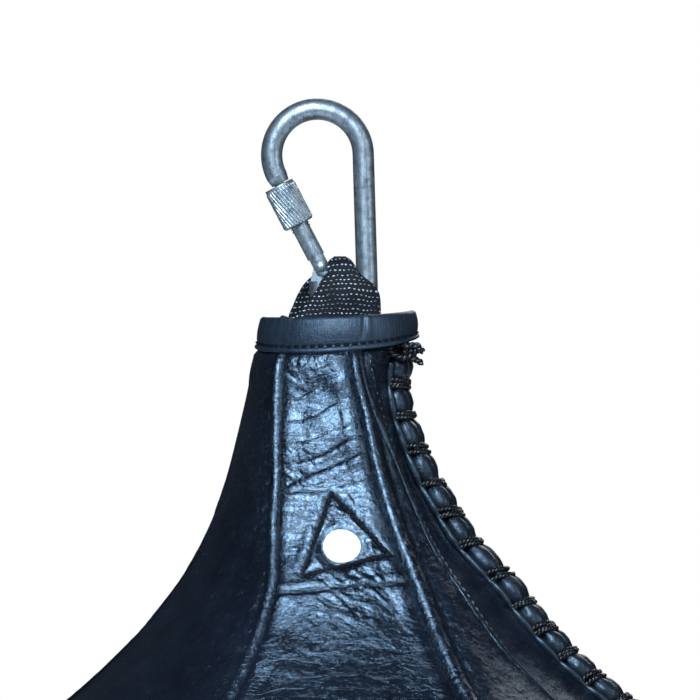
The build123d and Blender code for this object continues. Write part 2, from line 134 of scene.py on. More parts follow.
class Piece:
    """Collects vertices and faces, in millimetres, for one Blender object."""

    def __init__(self):
        self.points, self.faces, self.uvs = [], [], []

    def grid(self, rows, around=False, along=False, uvs=None):
        """A sheet of quads over equal rows; around closes each row, along closes the last row."""
        start, width = len(self.points), len(rows[0])
        for r, row in enumerate(rows):
            self.points.extend(row)
            self.uvs.extend(uvs[r] if uvs else [(0.0, 0.0)] * width)
        for r in range(len(rows) if along else len(rows) - 1):
            below = start + ((r + 1) % len(rows)) * width
            here = start + r * width
            for c in range(width if around else width - 1):
                d = (c + 1) % width
                self.faces.append((here + c, here + d, below + d, below + c))

    def fan(self, row_start, count, flip=False):
        """Closes a ring of points with one face."""
        ring = [row_start + n for n in range(count)]
        self.faces.append(tuple(reversed(ring) if flip else ring))

    def tube(self, centres, radii, sides=12, closed=False):
        """A tube with one radius, or with a radius at every centre."""
        count = len(centres)
        if not hasattr(radii, "__len__"):
            radii = [radii] * count
        side = None
        rings = []
        for n, centre in enumerate(centres):
            if closed:
                ahead, behind = centres[(n + 1) % count], centres[n - 1]
            else:
                ahead, behind = centres[min(n + 1, count - 1)], centres[max(n - 1, 0)]
            forward = (ahead - behind).normalized()
            if side is None:
                side = forward.orthogonal().normalized()
            else:
                side = (side - forward * side.dot(forward)).normalized()
            top = side.cross(forward)
            ring = []
            for k in range(sides):
                a = 2 * pi * k / sides
                ring.append(centre + side * (radii[n] * cos(a)) + top * (radii[n] * sin(a)))
            rings.append(ring)
        start = len(self.points)
        self.grid(rings, around=True, along=closed)
        if not closed:
            self.fan(start, sides, flip=False)
            self.fan(start + (count - 1) * sides, sides, flip=True)

    def make(self, name, body, slot, material, replaces=()):
        """Builds the Blender object and hangs it on its body."""
        mesh = bpy.data.meshes.new(name)
        mesh.from_pydata([tuple(p * MM) for p in self.points], [], self.faces)
        layer = mesh.uv_layers.new(name="across_along")
        for loop in mesh.loops:
            layer.data[loop.index].uv = self.uvs[loop.vertex_index]
        mesh.validate()
        mesh.materials.append(material)
        piece = bpy.data.objects.new(name, mesh)
        bpy.context.scene.collection.objects.link(piece)
        mesh.shade_smooth()
        if body:
            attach(piece, body)
        if replaces:
            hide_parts(*replaces)
        return piece


def thicken(piece, thickness, offset):
    """Gives a sheet a thickness in millimetres; offset -1 grows it inwards, 1 outwards."""
    modifier = piece.modifiers.new("thickness", "SOLIDIFY")
    modifier.thickness = thickness * MM
    modifier.offset = offset


def outward(piece):
    """Makes every face of a closed piece point out of it."""
    mesh = bmesh.new()
    mesh.from_mesh(piece.data)
    bmesh.ops.recalc_face_normals(mesh, faces=mesh.faces)
    mesh.to_mesh(piece.data)
    mesh.free()


# ---------------------------------------------------------------- materials
class Shader:
    """A Principled material with short helpers for its nodes."""

    def __init__(self, name, color, roughness, metallic=0.0):
        self.material = bpy.data.materials.new(name)
        self.material.use_nodes = True
        self.tree = self.material.node_tree
        self.surface = self.tree.nodes["Principled BSDF"]
        self.surface.inputs["Base Color"].default_value = (*color, 1)
        self.surface.inputs["Roughness"].default_value = roughness
        self.surface.inputs["Metallic"].default_value = metallic

    def node(self, kind, links=(), **values):
        """Adds a node; values are input defaults by name, links are (input, socket) pairs."""
        made = self.tree.nodes.new(kind)
        for key, value in values.items():
            if key in made.inputs:
                made.inputs[key].default_value = value
            else:
                setattr(made, key, value)
        for key, socket in links:
            self.tree.links.new(socket, made.inputs[key])
        return made

    def place(self, scale=(1, 1, 1), turn=(0, 0, 0)):
        """Object coordinates, scaled and turned."""
        coords = self.node("ShaderNodeTexCoord").outputs["Object"]
        mapped = self.node("ShaderNodeMapping", [("Vector", coords)])
        mapped.inputs["Scale"].default_value = scale
        mapped.inputs["Rotation"].default_value = turn
        return mapped.outputs["Vector"]

    def noise(self, scale, detail=3.0, rough=0.5, distort=0.0, vector=None):
        made = self.node("ShaderNodeTexNoise", [("Vector", vector or self.place())])
        made.inputs["Scale"].default_value = scale
        made.inputs["Detail"].default_value = detail
        made.inputs["Roughness"].default_value = rough
        made.inputs["Distortion"].default_value = distort
        return made.outputs["Fac"]

    def cells(self, scale, feature="DISTANCE_TO_EDGE"):
        made = self.node("ShaderNodeTexVoronoi", [("Vector", self.place())])
        made.feature = feature
        made.inputs["Scale"].default_value = scale
        return made.outputs["Distance"]

    def ramp(self, socket, stops):
        """A colour ramp from a list of (position, grey or colour)."""
        made = self.node("ShaderNodeValToRGB", [("Fac", socket)])
        elements = made.color_ramp.elements
        while len(elements) < len(stops):
            elements.new(0.5)
        for element, (position, value) in zip(elements, stops):
            element.position = position
            grey = not hasattr(value, "__len__")
            element.color = (value, value, value, 1) if grey else (*value, 1)
        return made.outputs["Color"]

    def math(self, operation, a, b=0.0):
        made = self.node("ShaderNodeMath")
        made.operation = operation
        for n, value in enumerate((a, b)):
            if isinstance(value, (int, float)):
                made.inputs[n].default_value = value
            else:
                self.tree.links.new(value, made.inputs[n])
        return made.outputs[0]

    def blend(self, factor, a, b):
        made = self.node("ShaderNodeMix", data_type="RGBA")
        for key, value in ((0, factor), (6, a), (7, b)):
            if isinstance(value, tuple):
                made.inputs[key].default_value = (*value, 1)
            elif isinstance(value, (int, float)):
                made.inputs[key].default_value = value
            else:
                self.tree.links.new(value, made.inputs[key])
        return made.outputs[2]

    def relief(self, height, depth, after=None):
        """Adds bump of a given depth in millimetres and returns the normal."""
        made = self.node("ShaderNodeBump", [("Height", height)])
        made.inputs["Strength"].default_value = 1.0
        made.inputs["Distance"].default_value = depth * MM
        if after:
            self.tree.links.new(after, made.inputs["Normal"])
        return made.outputs["Normal"]

    def set(self, key, value):
        """Links a socket, or sets a constant, on the surface."""
        if hasattr(value, "is_linked"):
            self.tree.links.new(value, self.surface.inputs[key])
        else:
            self.surface.inputs[key].default_value = value


def leather_material(name, dark, light, roughness, grain=1.0, wrinkle=1.0, pull=0.0, shine=0.86):
    """Semi-gloss leather: pebble grain, crepe wrinkles, pores and worn patches; calmer on the belly."""
    s = Shader(name, dark, roughness)
    tone = s.noise(38.0, detail=5.0, rough=0.62)
    s.set("Base Color", s.blend(s.ramp(tone, [(0.35, 0.0), (0.72, 1.0)]), dark, light))
    pebble = s.ramp(s.cells(820.0), [(0.0, 0.0), (0.45, 1.0)])
    pores = s.noise(2300.0, detail=2.0)
    drawn = s.place((1.0, 1.0, 0.42), (0.0, radians(-14), 0.0))
    crepe = s.ramp(s.noise(560.0, detail=4.0, rough=0.6, distort=1.1, vector=drawn),
                   [(0.36, 0.0), (0.60, 1.0)])
    slanted = s.place((0.45, 1.0, 1.5), (0.0, radians(24), 0.0))
    folds = s.ramp(s.noise(150.0, detail=5.0, rough=0.62, distort=0.9, vector=slanted),
                   [(0.30, 0.35), (0.47, 1.0), (0.53, 0.0), (0.72, 0.8)])
    soft = s.noise(75.0, detail=3.0, rough=0.5, distort=0.3)
    wear = s.ramp(s.noise(210.0, detail=6.0, rough=0.7), [(0.3, roughness - 0.06), (0.75, roughness + 0.10)])
    s.set("Roughness", wear)
    coords = s.node("ShaderNodeTexCoord").outputs["Object"]
    height = s.node("ShaderNodeSeparateXYZ", [("Vector", coords)]).outputs["Z"]
    slack = s.ramp(s.math("ADD", s.math("MULTIPLY", height, 8.0), 2.4), [(0.0, 0.22), (1.0, 1.0)])
    normal = s.relief(s.math("MULTIPLY", soft, slack), 1.7 * wrinkle)
    normal = s.relief(s.math("MULTIPLY", folds, slack), 0.13 * wrinkle, after=normal)
    normal = s.relief(crepe, 0.07 * wrinkle, after=normal)
    if pull:
        streaks = s.noise(1000.0, detail=4.0, rough=0.65, vector=s.place((1, 1, 0.07)))
        normal = s.relief(streaks, 0.30 * pull, after=normal)
    normal = s.relief(pebble, 0.03 * grain, after=normal)
    normal = s.relief(pores, 0.012 * grain, after=normal)
    s.set("Normal", normal)
    s.set("Specular IOR Level", shine)
    s.set("Specular Tint", (0.55, 0.77, 1.0, 1.0))
    s.set("Coat Weight", 0.06)
    s.set("Coat Roughness", 0.18)
    return s.material


def steel_material(name, dark, light, roughness, streak=(1, 1, 0.1)):
    """Zinc-plated steel with drawing marks, clouding and small pits."""
    s = Shader(name, light, roughness, metallic=0.85)
    cloud = s.noise(260.0, detail=6.0, rough=0.72)
    lines = s.noise(1500.0, detail=3.0, vector=s.place(streak))
    both = s.math("ADD", s.math("MULTIPLY", cloud, 0.72), s.math("MULTIPLY", lines, 0.28))
    s.set("Base Color", s.blend(s.ramp(both, [(0.38, 0.0), (0.60, 1.0)]), dark, light))
    s.set("Roughness", s.ramp(both, [(0.3, roughness + 0.14), (0.68, roughness - 0.08)]))
    normal = s.relief(s.noise(700.0, detail=4.0, rough=0.7), 0.07)
    normal = s.relief(lines, 0.05, after=normal)
    pits = s.ramp(s.cells(420.0, feature="F1"), [(0.0, 0.0), (0.16, 1.0)])
    s.set("Normal", s.relief(pits, 0.04, after=normal))
    return s.material


def webbing_material():
    """Ribbed black webbing: rows of short pale dashes where the weft shows on the ribs."""
    s = Shader("webbing", (0.004, 0.005, 0.007), 0.62)
    uv = s.node("ShaderNodeUVMap", uv_map="across_along").outputs["UV"]
    split = s.node("ShaderNodeSeparateXYZ", [("Vector", uv)])

    def strayed(coordinate, scale, amount):
        stray = s.math("SUBTRACT", s.noise(scale, detail=3.0), 0.5)
        return s.math("ADD", coordinate, s.math("MULTIPLY", stray, amount))

    across = strayed(split.outputs["X"], 150.0, 1.7)
    along = strayed(split.outputs["Y"], 190.0, 1.1)
    row = s.math("FLOOR", along)
    shift = s.math("MULTIPLY", s.math("MODULO", row, 2.0), 0.5)
    column = s.math("FRACT", s.math("ADD", across, shift))
    in_row = s.math("FRACT", along)
    wide = s.math("ABSOLUTE", s.math("SUBTRACT", column, 0.5))
    high = s.math("ABSOLUTE", s.math("SUBTRACT", in_row, 0.5))
    far = s.math("SQRT", s.math("ADD", s.math("POWER", s.math("MULTIPLY", wide, 2.1), 2.0),
                                s.math("POWER", s.math("MULTIPLY", high, 4.2), 2.0)))
    jitter = s.math("MULTIPLY", s.noise(620.0, detail=4.0, rough=0.7), 0.75)
    dash = s.ramp(s.math("ADD", far, jitter), [(0.80, 1.0), (1.08, 0.0)])
    patch = s.ramp(s.noise(95.0, detail=3.0, rough=0.6), [(0.34, 0.12), (0.60, 1.0)])
    dash = s.math("MULTIPLY", dash, patch)
    fleck = s.ramp(s.noise(700.0, detail=4.0, rough=0.75),
                   [(0.36, (0.05, 0.06, 0.075)), (0.60, (0.56, 0.60, 0.64))])
    s.set("Base Color", s.blend(dash, (0.005, 0.006, 0.008), fleck))
    fibre = s.noise(2600.0, detail=3.0)
    normal = s.relief(dash, 0.5)
    s.set("Normal", s.relief(fibre, 0.12, after=normal))
    s.set("Roughness", s.ramp(fibre, [(0.3, 0.5), (0.7, 0.78)]))
    s.set("Specular IOR Level", 0.08)
    return s.material


def thread_material(name, dark, light, roughness=0.42, coat=0.35, shine=0.5):
    """Waxed twisted thread or cord."""
    s = Shader(name, dark, roughness)
    fibre = s.noise(1900.0, detail=3.0, rough=0.6)
    s.set("Base Color", s.blend(s.ramp(fibre, [(0.4, 0.0), (0.8, 1.0)]), dark, light))
    s.set("Roughness", s.ramp(fibre, [(0.3, roughness - 0.1), (0.7, roughness + 0.12)]))
    s.set("Normal", s.relief(fibre, 0.12))
    s.set("Specular IOR Level", shine)
    s.set("Coat Weight", coat)
    s.set("Coat Roughness", 0.2)
    return s.material


def cloth_material(name, dark, light):
    """Plain woven cloth."""
    s = Shader(name, dark, 0.85)
    warp = s.node("ShaderNodeTexWave", [("Vector", s.place())])
    warp.inputs["Scale"].default_value = 260.0
    warp.inputs["Distortion"].default_value = 1.2
    tone = s.noise(60.0, detail=4.0)
    s.set("Base Color", s.blend(tone, dark, light))
    s.set("Normal", s.relief(warp.outputs["Fac"], 0.25))
    s.set("Roughness", s.ramp(tone, [(0.3, 0.78), (0.7, 0.92)]))
    return s.material


def cap_painted_glare_material():
    """Smooth cap painted plain white, a painted reflection that stands in for the glare of a polished metal
    rivet head; faint clouding.
    """
    s = Shader("cap_painted_glare", (0.93, 0.93, 0.92), 0.3)
    cloud = s.noise(160.0, detail=4.0)
    s.set("Base Color", s.blend(s.ramp(cloud, [(0.3, 0.0), (0.8, 1.0)]),
                                (0.95, 0.95, 0.945), (0.90, 0.905, 0.91)))
    s.set("Roughness", s.ramp(cloud, [(0.3, 0.26), (0.7, 0.36)]))
    s.set("Normal", s.relief(s.noise(300.0, detail=3.0), 0.03))
    s.set("Coat Weight", 0.3)
    return s.material


SHELL = leather_material("shell_leather", (0.0015, 0.002, 0.004), (0.005, 0.007, 0.012), 0.23)
COLLAR = leather_material("collar_leather", (0.004, 0.006, 0.010), (0.009, 0.013, 0.021), 0.46,
                          grain=0.8, wrinkle=0.35, pull=1.0, shine=0.6)
LIP = leather_material("lip_leather", (0.003, 0.004, 0.006), (0.008, 0.010, 0.014), 0.36,
                       grain=0.7, wrinkle=0.5, shine=0.45)
STEEL = steel_material("carabiner_steel", (0.08, 0.095, 0.11), (0.27, 0.31, 0.335), 0.40)
GATE_STEEL = steel_material("gate_steel", (0.08, 0.095, 0.11), (0.27, 0.31, 0.335), 0.40)
SLEEVE_STEEL = steel_material("sleeve_steel", (0.09, 0.105, 0.12), (0.36, 0.40, 0.425), 0.38, (1, 1, 1))
SPRING_STEEL = steel_material("spring_steel", (0.25, 0.25, 0.26), (0.6, 0.6, 0.62), 0.3)
WEBBING = webbing_material()
THREAD = thread_material("stitch_thread", (0.04, 0.05, 0.065), (0.16, 0.19, 0.23))
ANCHOR_THREAD = thread_material("anchor_thread", (0.001, 0.0015, 0.003), (0.005, 0.007, 0.012), 0.6,
                                coat=0.0, shine=0.12)
LACE = thread_material("lace_cord", (0.0015, 0.0015, 0.002), (0.008, 0.009, 0.012), 0.28, coat=0.1, shine=0.3)
CLOTH = cloth_material("lining_cloth", (0.02, 0.02, 0.023), (0.05, 0.05, 0.055))
SCRAPS = cloth_material("filling_scraps", (0.10, 0.10, 0.11), (0.30, 0.29, 0.28))
# the anchor caps' white is a painted reflection: the glare of a polished metal rivet head
CAP_PAINTED_GLARE = cap_painted_glare_material()

CAD_FINISH = {
    "carabiner_body": STEEL, "gate_bar": GATE_STEEL, "gate_rivet": STEEL, "latch_pin": GATE_STEEL,
    "gate_spring": SPRING_STEEL, "spring_plunger": SPRING_STEEL,
    # anchor caps get the painted white glare of a polished rivet head
    "anchor_cap_front": CAP_PAINTED_GLARE, "anchor_cap_back": CAP_PAINTED_GLARE,
    "anchor_washer_front": SPRING_STEEL, "anchor_washer_back": SPRING_STEEL,
}


def finish_cad_nodes():
    """Gives each CAD piece that stays its own material."""
    for node, material in CAD_FINISH.items():
        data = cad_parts[node].data
        data.materials.clear()
        data.materials.append(material)


# ---------------------------------------------------------------- outline of the leather shell
# Heights are millimetres below the hang point. Angles are measured from the front, + to the right.
FRONT_SEAM_LEFT = [(-103, -42.5), (-125, -39), (-147, -34.5), (-170, -30), (-208, -23), (-300, -27),
                   (-420, -30)]
FRONT_SEAM_RIGHT = [(-103, 5.5), (-130, 12.0), (-152, 16.0), (-178, 20.8), (-208, 24.5), (-300, 28),
                    (-420, 30)]
FACING_LINE = [(-103, 13), (-126, 20), (-141, 29), (-152, 34.5), (-173, 41), (-208, 46), (-260, 55),
               (-310, 62)]
LACING = [(-103, 78.0), (-150, 79.0), (-208, 77.5), (-300, 86.0), (-420, 90.0)]
BACK_TWIST = [(-103, -13.0), (-208, 0.0)]
PINCH = [(-96, 4), (-103, 11), (-118, 15.7), (-130, 16), (-145, 14.2), (-160, 12.3), (-173, 9.8), (-186, 7.8),
         (-197, 4), (-210, 0)]
LEFT_FULLNESS = [(-98, 0), (-103, 1.6), (-109, 2.8), (-140, 2.8), (-160, 1), (-180, -0.8), (-205, -1.8),
                 (-260, 0)]
FLATNESS = [(-100, 0.2), (-112, 0.8), (-200, 0.75), (-270, 0.4), (-420, 0.16)]

# the front gore, then anticlockwise seen from above
GORE_NODES = ("gore_5", "gore_6", "gore_1", "gore_2", "gore_3", "gore_4")


def profile(s):
    """Radius, height and outward tilt of the CAD wall at s millimetres below its top edge."""
    if s < NECK_LENGTH:
        tilt = NECK_SLOPE + s / NECK_ARC_R
        return NECK_CENTRE_R - NECK_ARC_R * cos(tilt), NECK_CENTRE_Z - NECK_ARC_R * sin(tilt), tilt
    tilt = BLEND_TILT - (s - NECK_LENGTH) / BELLY_R
    return BELLY_R * cos(tilt), BELLY_Z + BELLY_R * sin(tilt), tilt


def depth_at(z):
    """The wall's arc length at a height above the belly's middle."""
    if z > NECK_CENTRE_Z - NECK_ARC_R * sin(BLEND_TILT):
        return NECK_ARC_R * (asin((NECK_CENTRE_Z - z) / NECK_ARC_R) - NECK_SLOPE)
    return NECK_LENGTH + BELLY_R * (BLEND_TILT - asin((z - BELLY_Z) / BELLY_R))


def seam_angle(number, z):
    """Angle of one of the six seams at a height; 0 and 1 bound the front gore, 2 is laced."""
    if number == 0:
        return smooth_curve(FRONT_SEAM_LEFT, z)
    if number == 1:
        return smooth_curve(FRONT_SEAM_RIGHT, z)
    if number == 2:
        return smooth_curve(LACING, z)
    if number == 6:
        return 360 + smooth_curve(FRONT_SEAM_LEFT, z)
    return 60 * number - 30 + smooth_curve(BACK_TWIST, z)


def collar_foot(angle):
    """Height of the collar's lower edge: it dips in front and is higher on the right."""
    a = radians(angle)
    return -98.4 + 2.4 * sin(a) - 2.9 * max(0.0, cos(a))


def shell_radius(angle, z, radius, number):
    """The shell's radius: flatter across each gore, fuller on the left, pinched at the lacing."""
    start, end = seam_angle(number, z), seam_angle(number + 1, z)
    half = radians((end - start) / 2)
    off = radians(angle - (start + end) / 2)
    flat = smooth_curve(FLATNESS, z)
    front_half = radians((seam_angle(1, z) - seam_angle(0, z)) / 2)
    stand = flat * (1 - cos(front_half))     # the front gore's seams stand out, its middle doesn't
    share = min(1.0, max(0.0, (angle - start) / (end - start)))
    stand *= {0: 1.0, 1: (1 - share) ** 2, 5: share ** 2}.get(number, 0.0)
    chord = cos(half) / cos(min(half, max(-half, off))) - 1
    radius *= 1 + stand + flat * (chord if number == 0 else 0.45 * chord)
    left = max(0.0, cos(radians(angle + 90)))
    radius += smooth_curve(LEFT_FULLNESS, z) * left
    away = abs((angle - seam_angle(2, z) + 180) % 360 - 180)
    pinch = cos(radians(min(90.0, away * 90 / 72))) ** 2
    foot = collar_foot(angle)
    return radius - smooth_curve(PINCH, z) * pinch - 3.0 * smoothstep(foot - 3.0, foot + 0.5, z)


def wall_point(angle, s, lift, number):
    """A point on the shell, lifted off it along the wall's own outward normal."""
    radius, z, tilt = profile(s)
    radius = shell_radius(angle, z, radius, number)
    out = radius + lift * cos(tilt)
    a = radians(angle)
    return Vector((BAG_X + out * sin(a), -out * cos(a), z + lift * sin(tilt)))


def wall_normal(angle, s):
    """The shell's outward normal, without its relief."""
    tilt = profile(s)[2]
    a = radians(angle)
    return Vector((cos(tilt) * sin(a), -cos(tilt) * cos(a), sin(tilt)))


# main diagonal creases of the front gore, as (x, z) lines, with a depth and a width
CREASES = [
    ([(-19, -118), (-8, -115), (0, -110), (11, -104)], 0.6, 1.0),
    ([(-20, -122), (-9, -123), (-3, -119), (5, -114), (17, -109)], 1.0, 1.3),
    ([(-15, -133), (-7, -132), (0, -130), (7, -125), (20, -120)], 1.0, 1.2),
    ([(-19, -140), (-9, -142), (-3, -141), (6, -137), (22, -132)], 0.8, 1.1),
    ([(-17, -150), (-8, -150.5), (-2, -149), (5, -146), (11, -142), (24, -136)], 1.4, 1.2),
    ([(-8, -149), (-3, -153), (-1, -157)], 0.7, 0.9),
    ([(-20, -165), (-13, -161), (-5, -157), (3, -154), (12, -150), (27, -143)], 1.7, 1.3),
    ([(-20, -166), (-8, -163.5), (2, -163), (12, -160), (30, -156)], 0.6, 0.9),
    ([(-15, -174), (-7, -171), (0, -170)], 0.45, 0.9),
    ([(-16, -181), (-8, -177), (-2, -173)], 0.45, 0.9),
    ([(13, -175), (20, -172), (28, -171)], 0.4, 0.9),
    ([(-18, -190), (-11, -187), (-5, -184)], 0.5, 0.9),
    ([(-19, -198), (-12, -193), (-6, -191)], 0.5, 0.9),
    ([(-4, -123), (3, -127), (6, -132)], 0.45, 0.9),
    ([(-13, -109), (-6, -108), (2, -105.5)], 0.5, 0.9),
]


def segment_distance(x, z, a, b):
    """Distance from a point to a segment, and which side of it the point is on."""
    ux, uz = b[0] - a[0], b[1] - a[1]
    t = max(0.0, min(1.0, ((x - a[0]) * ux + (z - a[1]) * uz) / (ux * ux + uz * uz)))
    px, pz = x - a[0] - t * ux, z - a[1] - t * uz
    return hypot(px, pz), (1.0 if ux * pz - uz * px > 0 else -1.0)


def crease_relief(x, z):
    """Sharp folds along the main creases: a fine groove with the leather puffed up below it."""
    lift = 0.0
    for line, depth, width in CREASES:
        near, side = min(segment_distance(x, z, a, b) for a, b in zip(line, line[1:]))
        if near < 9 * width:
            end = min(hypot(x - line[0][0], z - line[0][1]), hypot(x - line[-1][0], z - line[-1][1]))
            fade = smoothstep(0.0, 12.0, end) * (0.75 + 0.35 * wave(x, 3, z, 6.0))
            lift -= 0.36 * depth * bump(near, 0.6 * width) * fade
            puff = exp(-near / (3.4 * width)) - exp(-near / (0.8 * width))
            lift += depth * puff * fade * (1.0 if side < 0 else -0.45)
    return lift


def wrinkles(point, amount, number):
    """Irregular fine wrinkling: mostly diagonal ridges, broken up by larger swells."""
    x, y, z = point
    lean = Vector((x * 0.82 - z * 0.57, y, (x * 0.57 + z * 0.82) * 2.3)) / 11.0
    sharp = 1 - abs(noise.noise(lean + Vector((number * 7.0, 0, 3.0))))
    finer = 1 - abs(noise.noise(lean * 2.6 + Vector((1.0, number * 5.0, 0))))
    patch = smoothstep(-0.25, 0.45, wave(x + 40 * number, y, z, 26.0))
    broad = noise.noise(Vector((lean.x * 0.35, lean.y * 0.5, lean.z * 0.26 + 5 * number)))
    return amount * patch * (0.85 * (sharp ** 5 - 0.35) + 0.35 * (finer ** 4 - 0.35)) + \
        0.5 * amount * wave(x, y + 17 * number, z, 19.0) + 1.5 * amount * broad


def triangle_points():
    """Corners of the stitched triangle round the anchor cap, as (x, z)."""
    return [(BAG_X - 4.6, ANCHOR_Z + 21.9), (BAG_X - 17.0, ANCHOR_Z - 13.1), (BAG_X + 20.2, ANCHOR_Z - 4.2)]


def hem_line_z(x):
    """Height of the stitched line across the front gore under the triangle."""
    return ANCHOR_Z - 18.6 + 0.09 * (x - BAG_X)


def front_stitch_relief(x, z):
    """Leather pulled down along the triangle's stitches and the line under it."""
    corners = triangle_points()
    near = min(segment_distance(x, z, corners[n], corners[n - 1])[0] for n in range(3))
    lift = -0.9 * bump(near, 1.3) + 0.22 * bump(near - 3.2, 1.8)
    low = z - hem_line_z(x)
    return lift - 0.8 * bump(low, 1.2) + 0.5 * bump(low - 2.6, 1.8)


FRONT, RIGHT, RIGHT_BACK = 0, 1, 2


def seam_relief(number, from_start, from_end, s):
    """Relief beside a gore's two seams, by the distance to each in millimetres."""
    lift = 0.0
    grow = smoothstep(0, 110, s)
    if number == FRONT:
        lift -= 1.9 * bump(from_start, 1.7) + 2.3 * bump(from_end, 2.2)
        lift += 0.5 * bump(from_start - 5.0, 2.6) + 0.6 * bump(from_end - 6.5, 3.2)
    elif number == RIGHT:
        width = mix(1.5, 3.1, grow)
        lift += mix(1.7, 2.6, grow) * bump(from_start - width * 1.05, width) - 1.6 * bump(from_start, 0.8)
        lift -= mix(0.6, 1.8, grow) * bump(from_start - width * 3.4, width * 1.3)
    else:
        lift -= 1.7 * bump(from_start, 1.6)
        if number != RIGHT_BACK:
            lift += 0.4 * bump(from_start - 5.0, 2.5)
    if number not in (FRONT, RIGHT):
        lift += 1.35 * bump(from_end - 1.7, 1.35) - 1.2 * bump(from_end, 0.6)
        lift -= 0.5 * bump(from_end - 4.6, 1.8)
    return lift


def gore_sample(number, u, s):
    """A point of one gore: u from 0 to 1 across, s down the wall."""
    radius, z, _ = profile(s)
    start, end = seam_angle(number, z), seam_angle(number + 1, z)
    if number == RIGHT:
        end = mix(end, smooth_curve(FACING_LINE, z), smoothstep(LIP_END_Z - 55, LIP_END_Z + 5, z))
    if number == RIGHT_BACK:
        mirrored = 2 * seam_angle(2, z) - smooth_curve(FACING_LINE, z)
        mirrored = min(mirrored, end - 12)
        start = mix(start, mirrored, smoothstep(LIP_END_Z - 55, LIP_END_Z + 5, z))
    angle = mix(start, end, u)
    arc = radians(end - start) * radius
    from_start, from_end = u * arc, (1 - u) * arc
    base = wall_point(angle, s, 0.0, number)
    lift = seam_relief(number, from_start, from_end, s)
    calm = smoothstep(0, 3.0, from_start) * smoothstep(0, 3.0, from_end)
    cap_near = hypot(base.x - BAG_X, base.z - ANCHOR_Z)
    seat = smoothstep(9.0, 13.0, cap_near)
    if number == FRONT and z > -260:
        folds = (crease_relief(base.x, base.z)
                 + wrinkles(base, 0.95, number) * (1 - 0.6 * smoothstep(-190, -240, z)))
        lift = lift + calm * folds * seat + front_stitch_relief(base.x, base.z) * seat - 0.9 * (1 - seat)
    else:
        amount = mix(0.55, 0.3, smoothstep(-150, -300, z))
        at_cap = 1 - seat if number == 3 and z > -260 else 0.0
        lift += calm * wrinkles(base, amount, number) * (1 - at_cap) - 0.9 * at_cap
    if number == RIGHT and from_end < 6:
        held = smoothstep(LIP_END_Z - 50, LIP_END_Z + 5, z)
        lift += held * (0.3 * smoothstep(7, 2.5, from_end) + 0.8 * smoothstep(2.2, 0.6, from_end))
    if number == RIGHT_BACK and from_start < 6:
        held = smoothstep(LIP_END_Z - 50, LIP_END_Z + 5, z)
        lift += held * (3.3 * smoothstep(6, 1.5, from_start))
    foot = collar_foot(angle)
    return wall_point(angle, s, lift * (1 - smoothstep(foot - 3.2, foot - 0.6, z)), number)


FINE_LENGTH = depth_at(-262.0)           # rows are close together down to here
TUCK_UNDER_COLLAR = 8.0
GORE_T = 1.6
LINING_T = 0.7
LINING_DEPTH = 4.4                       # below the shell's outer face
FILLING_DEPTH = 5.6


def gore_lengths(fine):
    """Arc lengths of a gore's rows: close together in the neck, wider apart on the belly."""
    rows, s = [], -TUCK_UNDER_COLLAR
    while s < SHELL_LENGTH:
        rows.append(s)
        s += mix(fine, 4.2, smoothstep(FINE_LENGTH - 40, FINE_LENGTH + 60, s))
    rows.append(SHELL_LENGTH)
    return rows


def make_gores():
    """Six gores, each one a leather sheet with its edges turned in."""
    made = []
    for number, node in enumerate(GORE_NODES):
        fine, across = (0.62, 104) if number == FRONT else (1.3, 56) if number == RIGHT else (1.9, 44)
        piece = Piece()
        rows = []
        for s in gore_lengths(fine):
            row = []
            for c in range(across + 1):
                t = c / across
                u = t + 0.035 * sin(2 * pi * t) * -1     # columns closer together at the seams
                row.append(gore_sample(number, u, s))
            first, second, last, before = row[0], row[1], row[-1], row[-2]
            inward = -wall_normal(seam_angle(number, profile(s)[1]), s)
            row.insert(0, first + inward * 2.4 + (second - first).normalized() * 0.4)
            inward = -wall_normal(seam_angle(number + 1, profile(s)[1]), s)
            row.append(last + inward * 2.4 + (before - last).normalized() * 0.4)
            rows.append(row)
        piece.grid(rows)
        gore = piece.make(f"leather_{node}", "bag", "shell_leather", SHELL, replaces=(node,))
        thicken(gore, GORE_T, -1)
        made.append(gore)
    return made


def make_lining():
    """Cloth lining that follows the shell's inner face."""
    piece = Piece()
    rows = []
    for s in [-TUCK_UNDER_COLLAR + n * 7.0 for n in range(int((SHELL_LENGTH + 8) / 7.0))]:
        z = profile(s)[1]
        row = []
        for number in range(6):
            start, end = seam_angle(number, z), seam_angle(number + 1, z)
            for c in range(14):
                row.append(wall_point(mix(start, end, c / 14), s, -LINING_DEPTH, number))
        rows.append(row)
    piece.grid(rows, around=True)
    lining = piece.make("cloth_lining", "bag", "lining_cloth", CLOTH, replaces=("lining",))
    thicken(lining, LINING_T, -1)
    return lining


def gore_at(angle, z):
    """The number of the gore an angle falls in."""
    for number in range(6):
        start = seam_angle(number, z)
        if (angle - start) % 360 <= (seam_angle(number + 1, z) - start) % 360:
            return number
    return 0


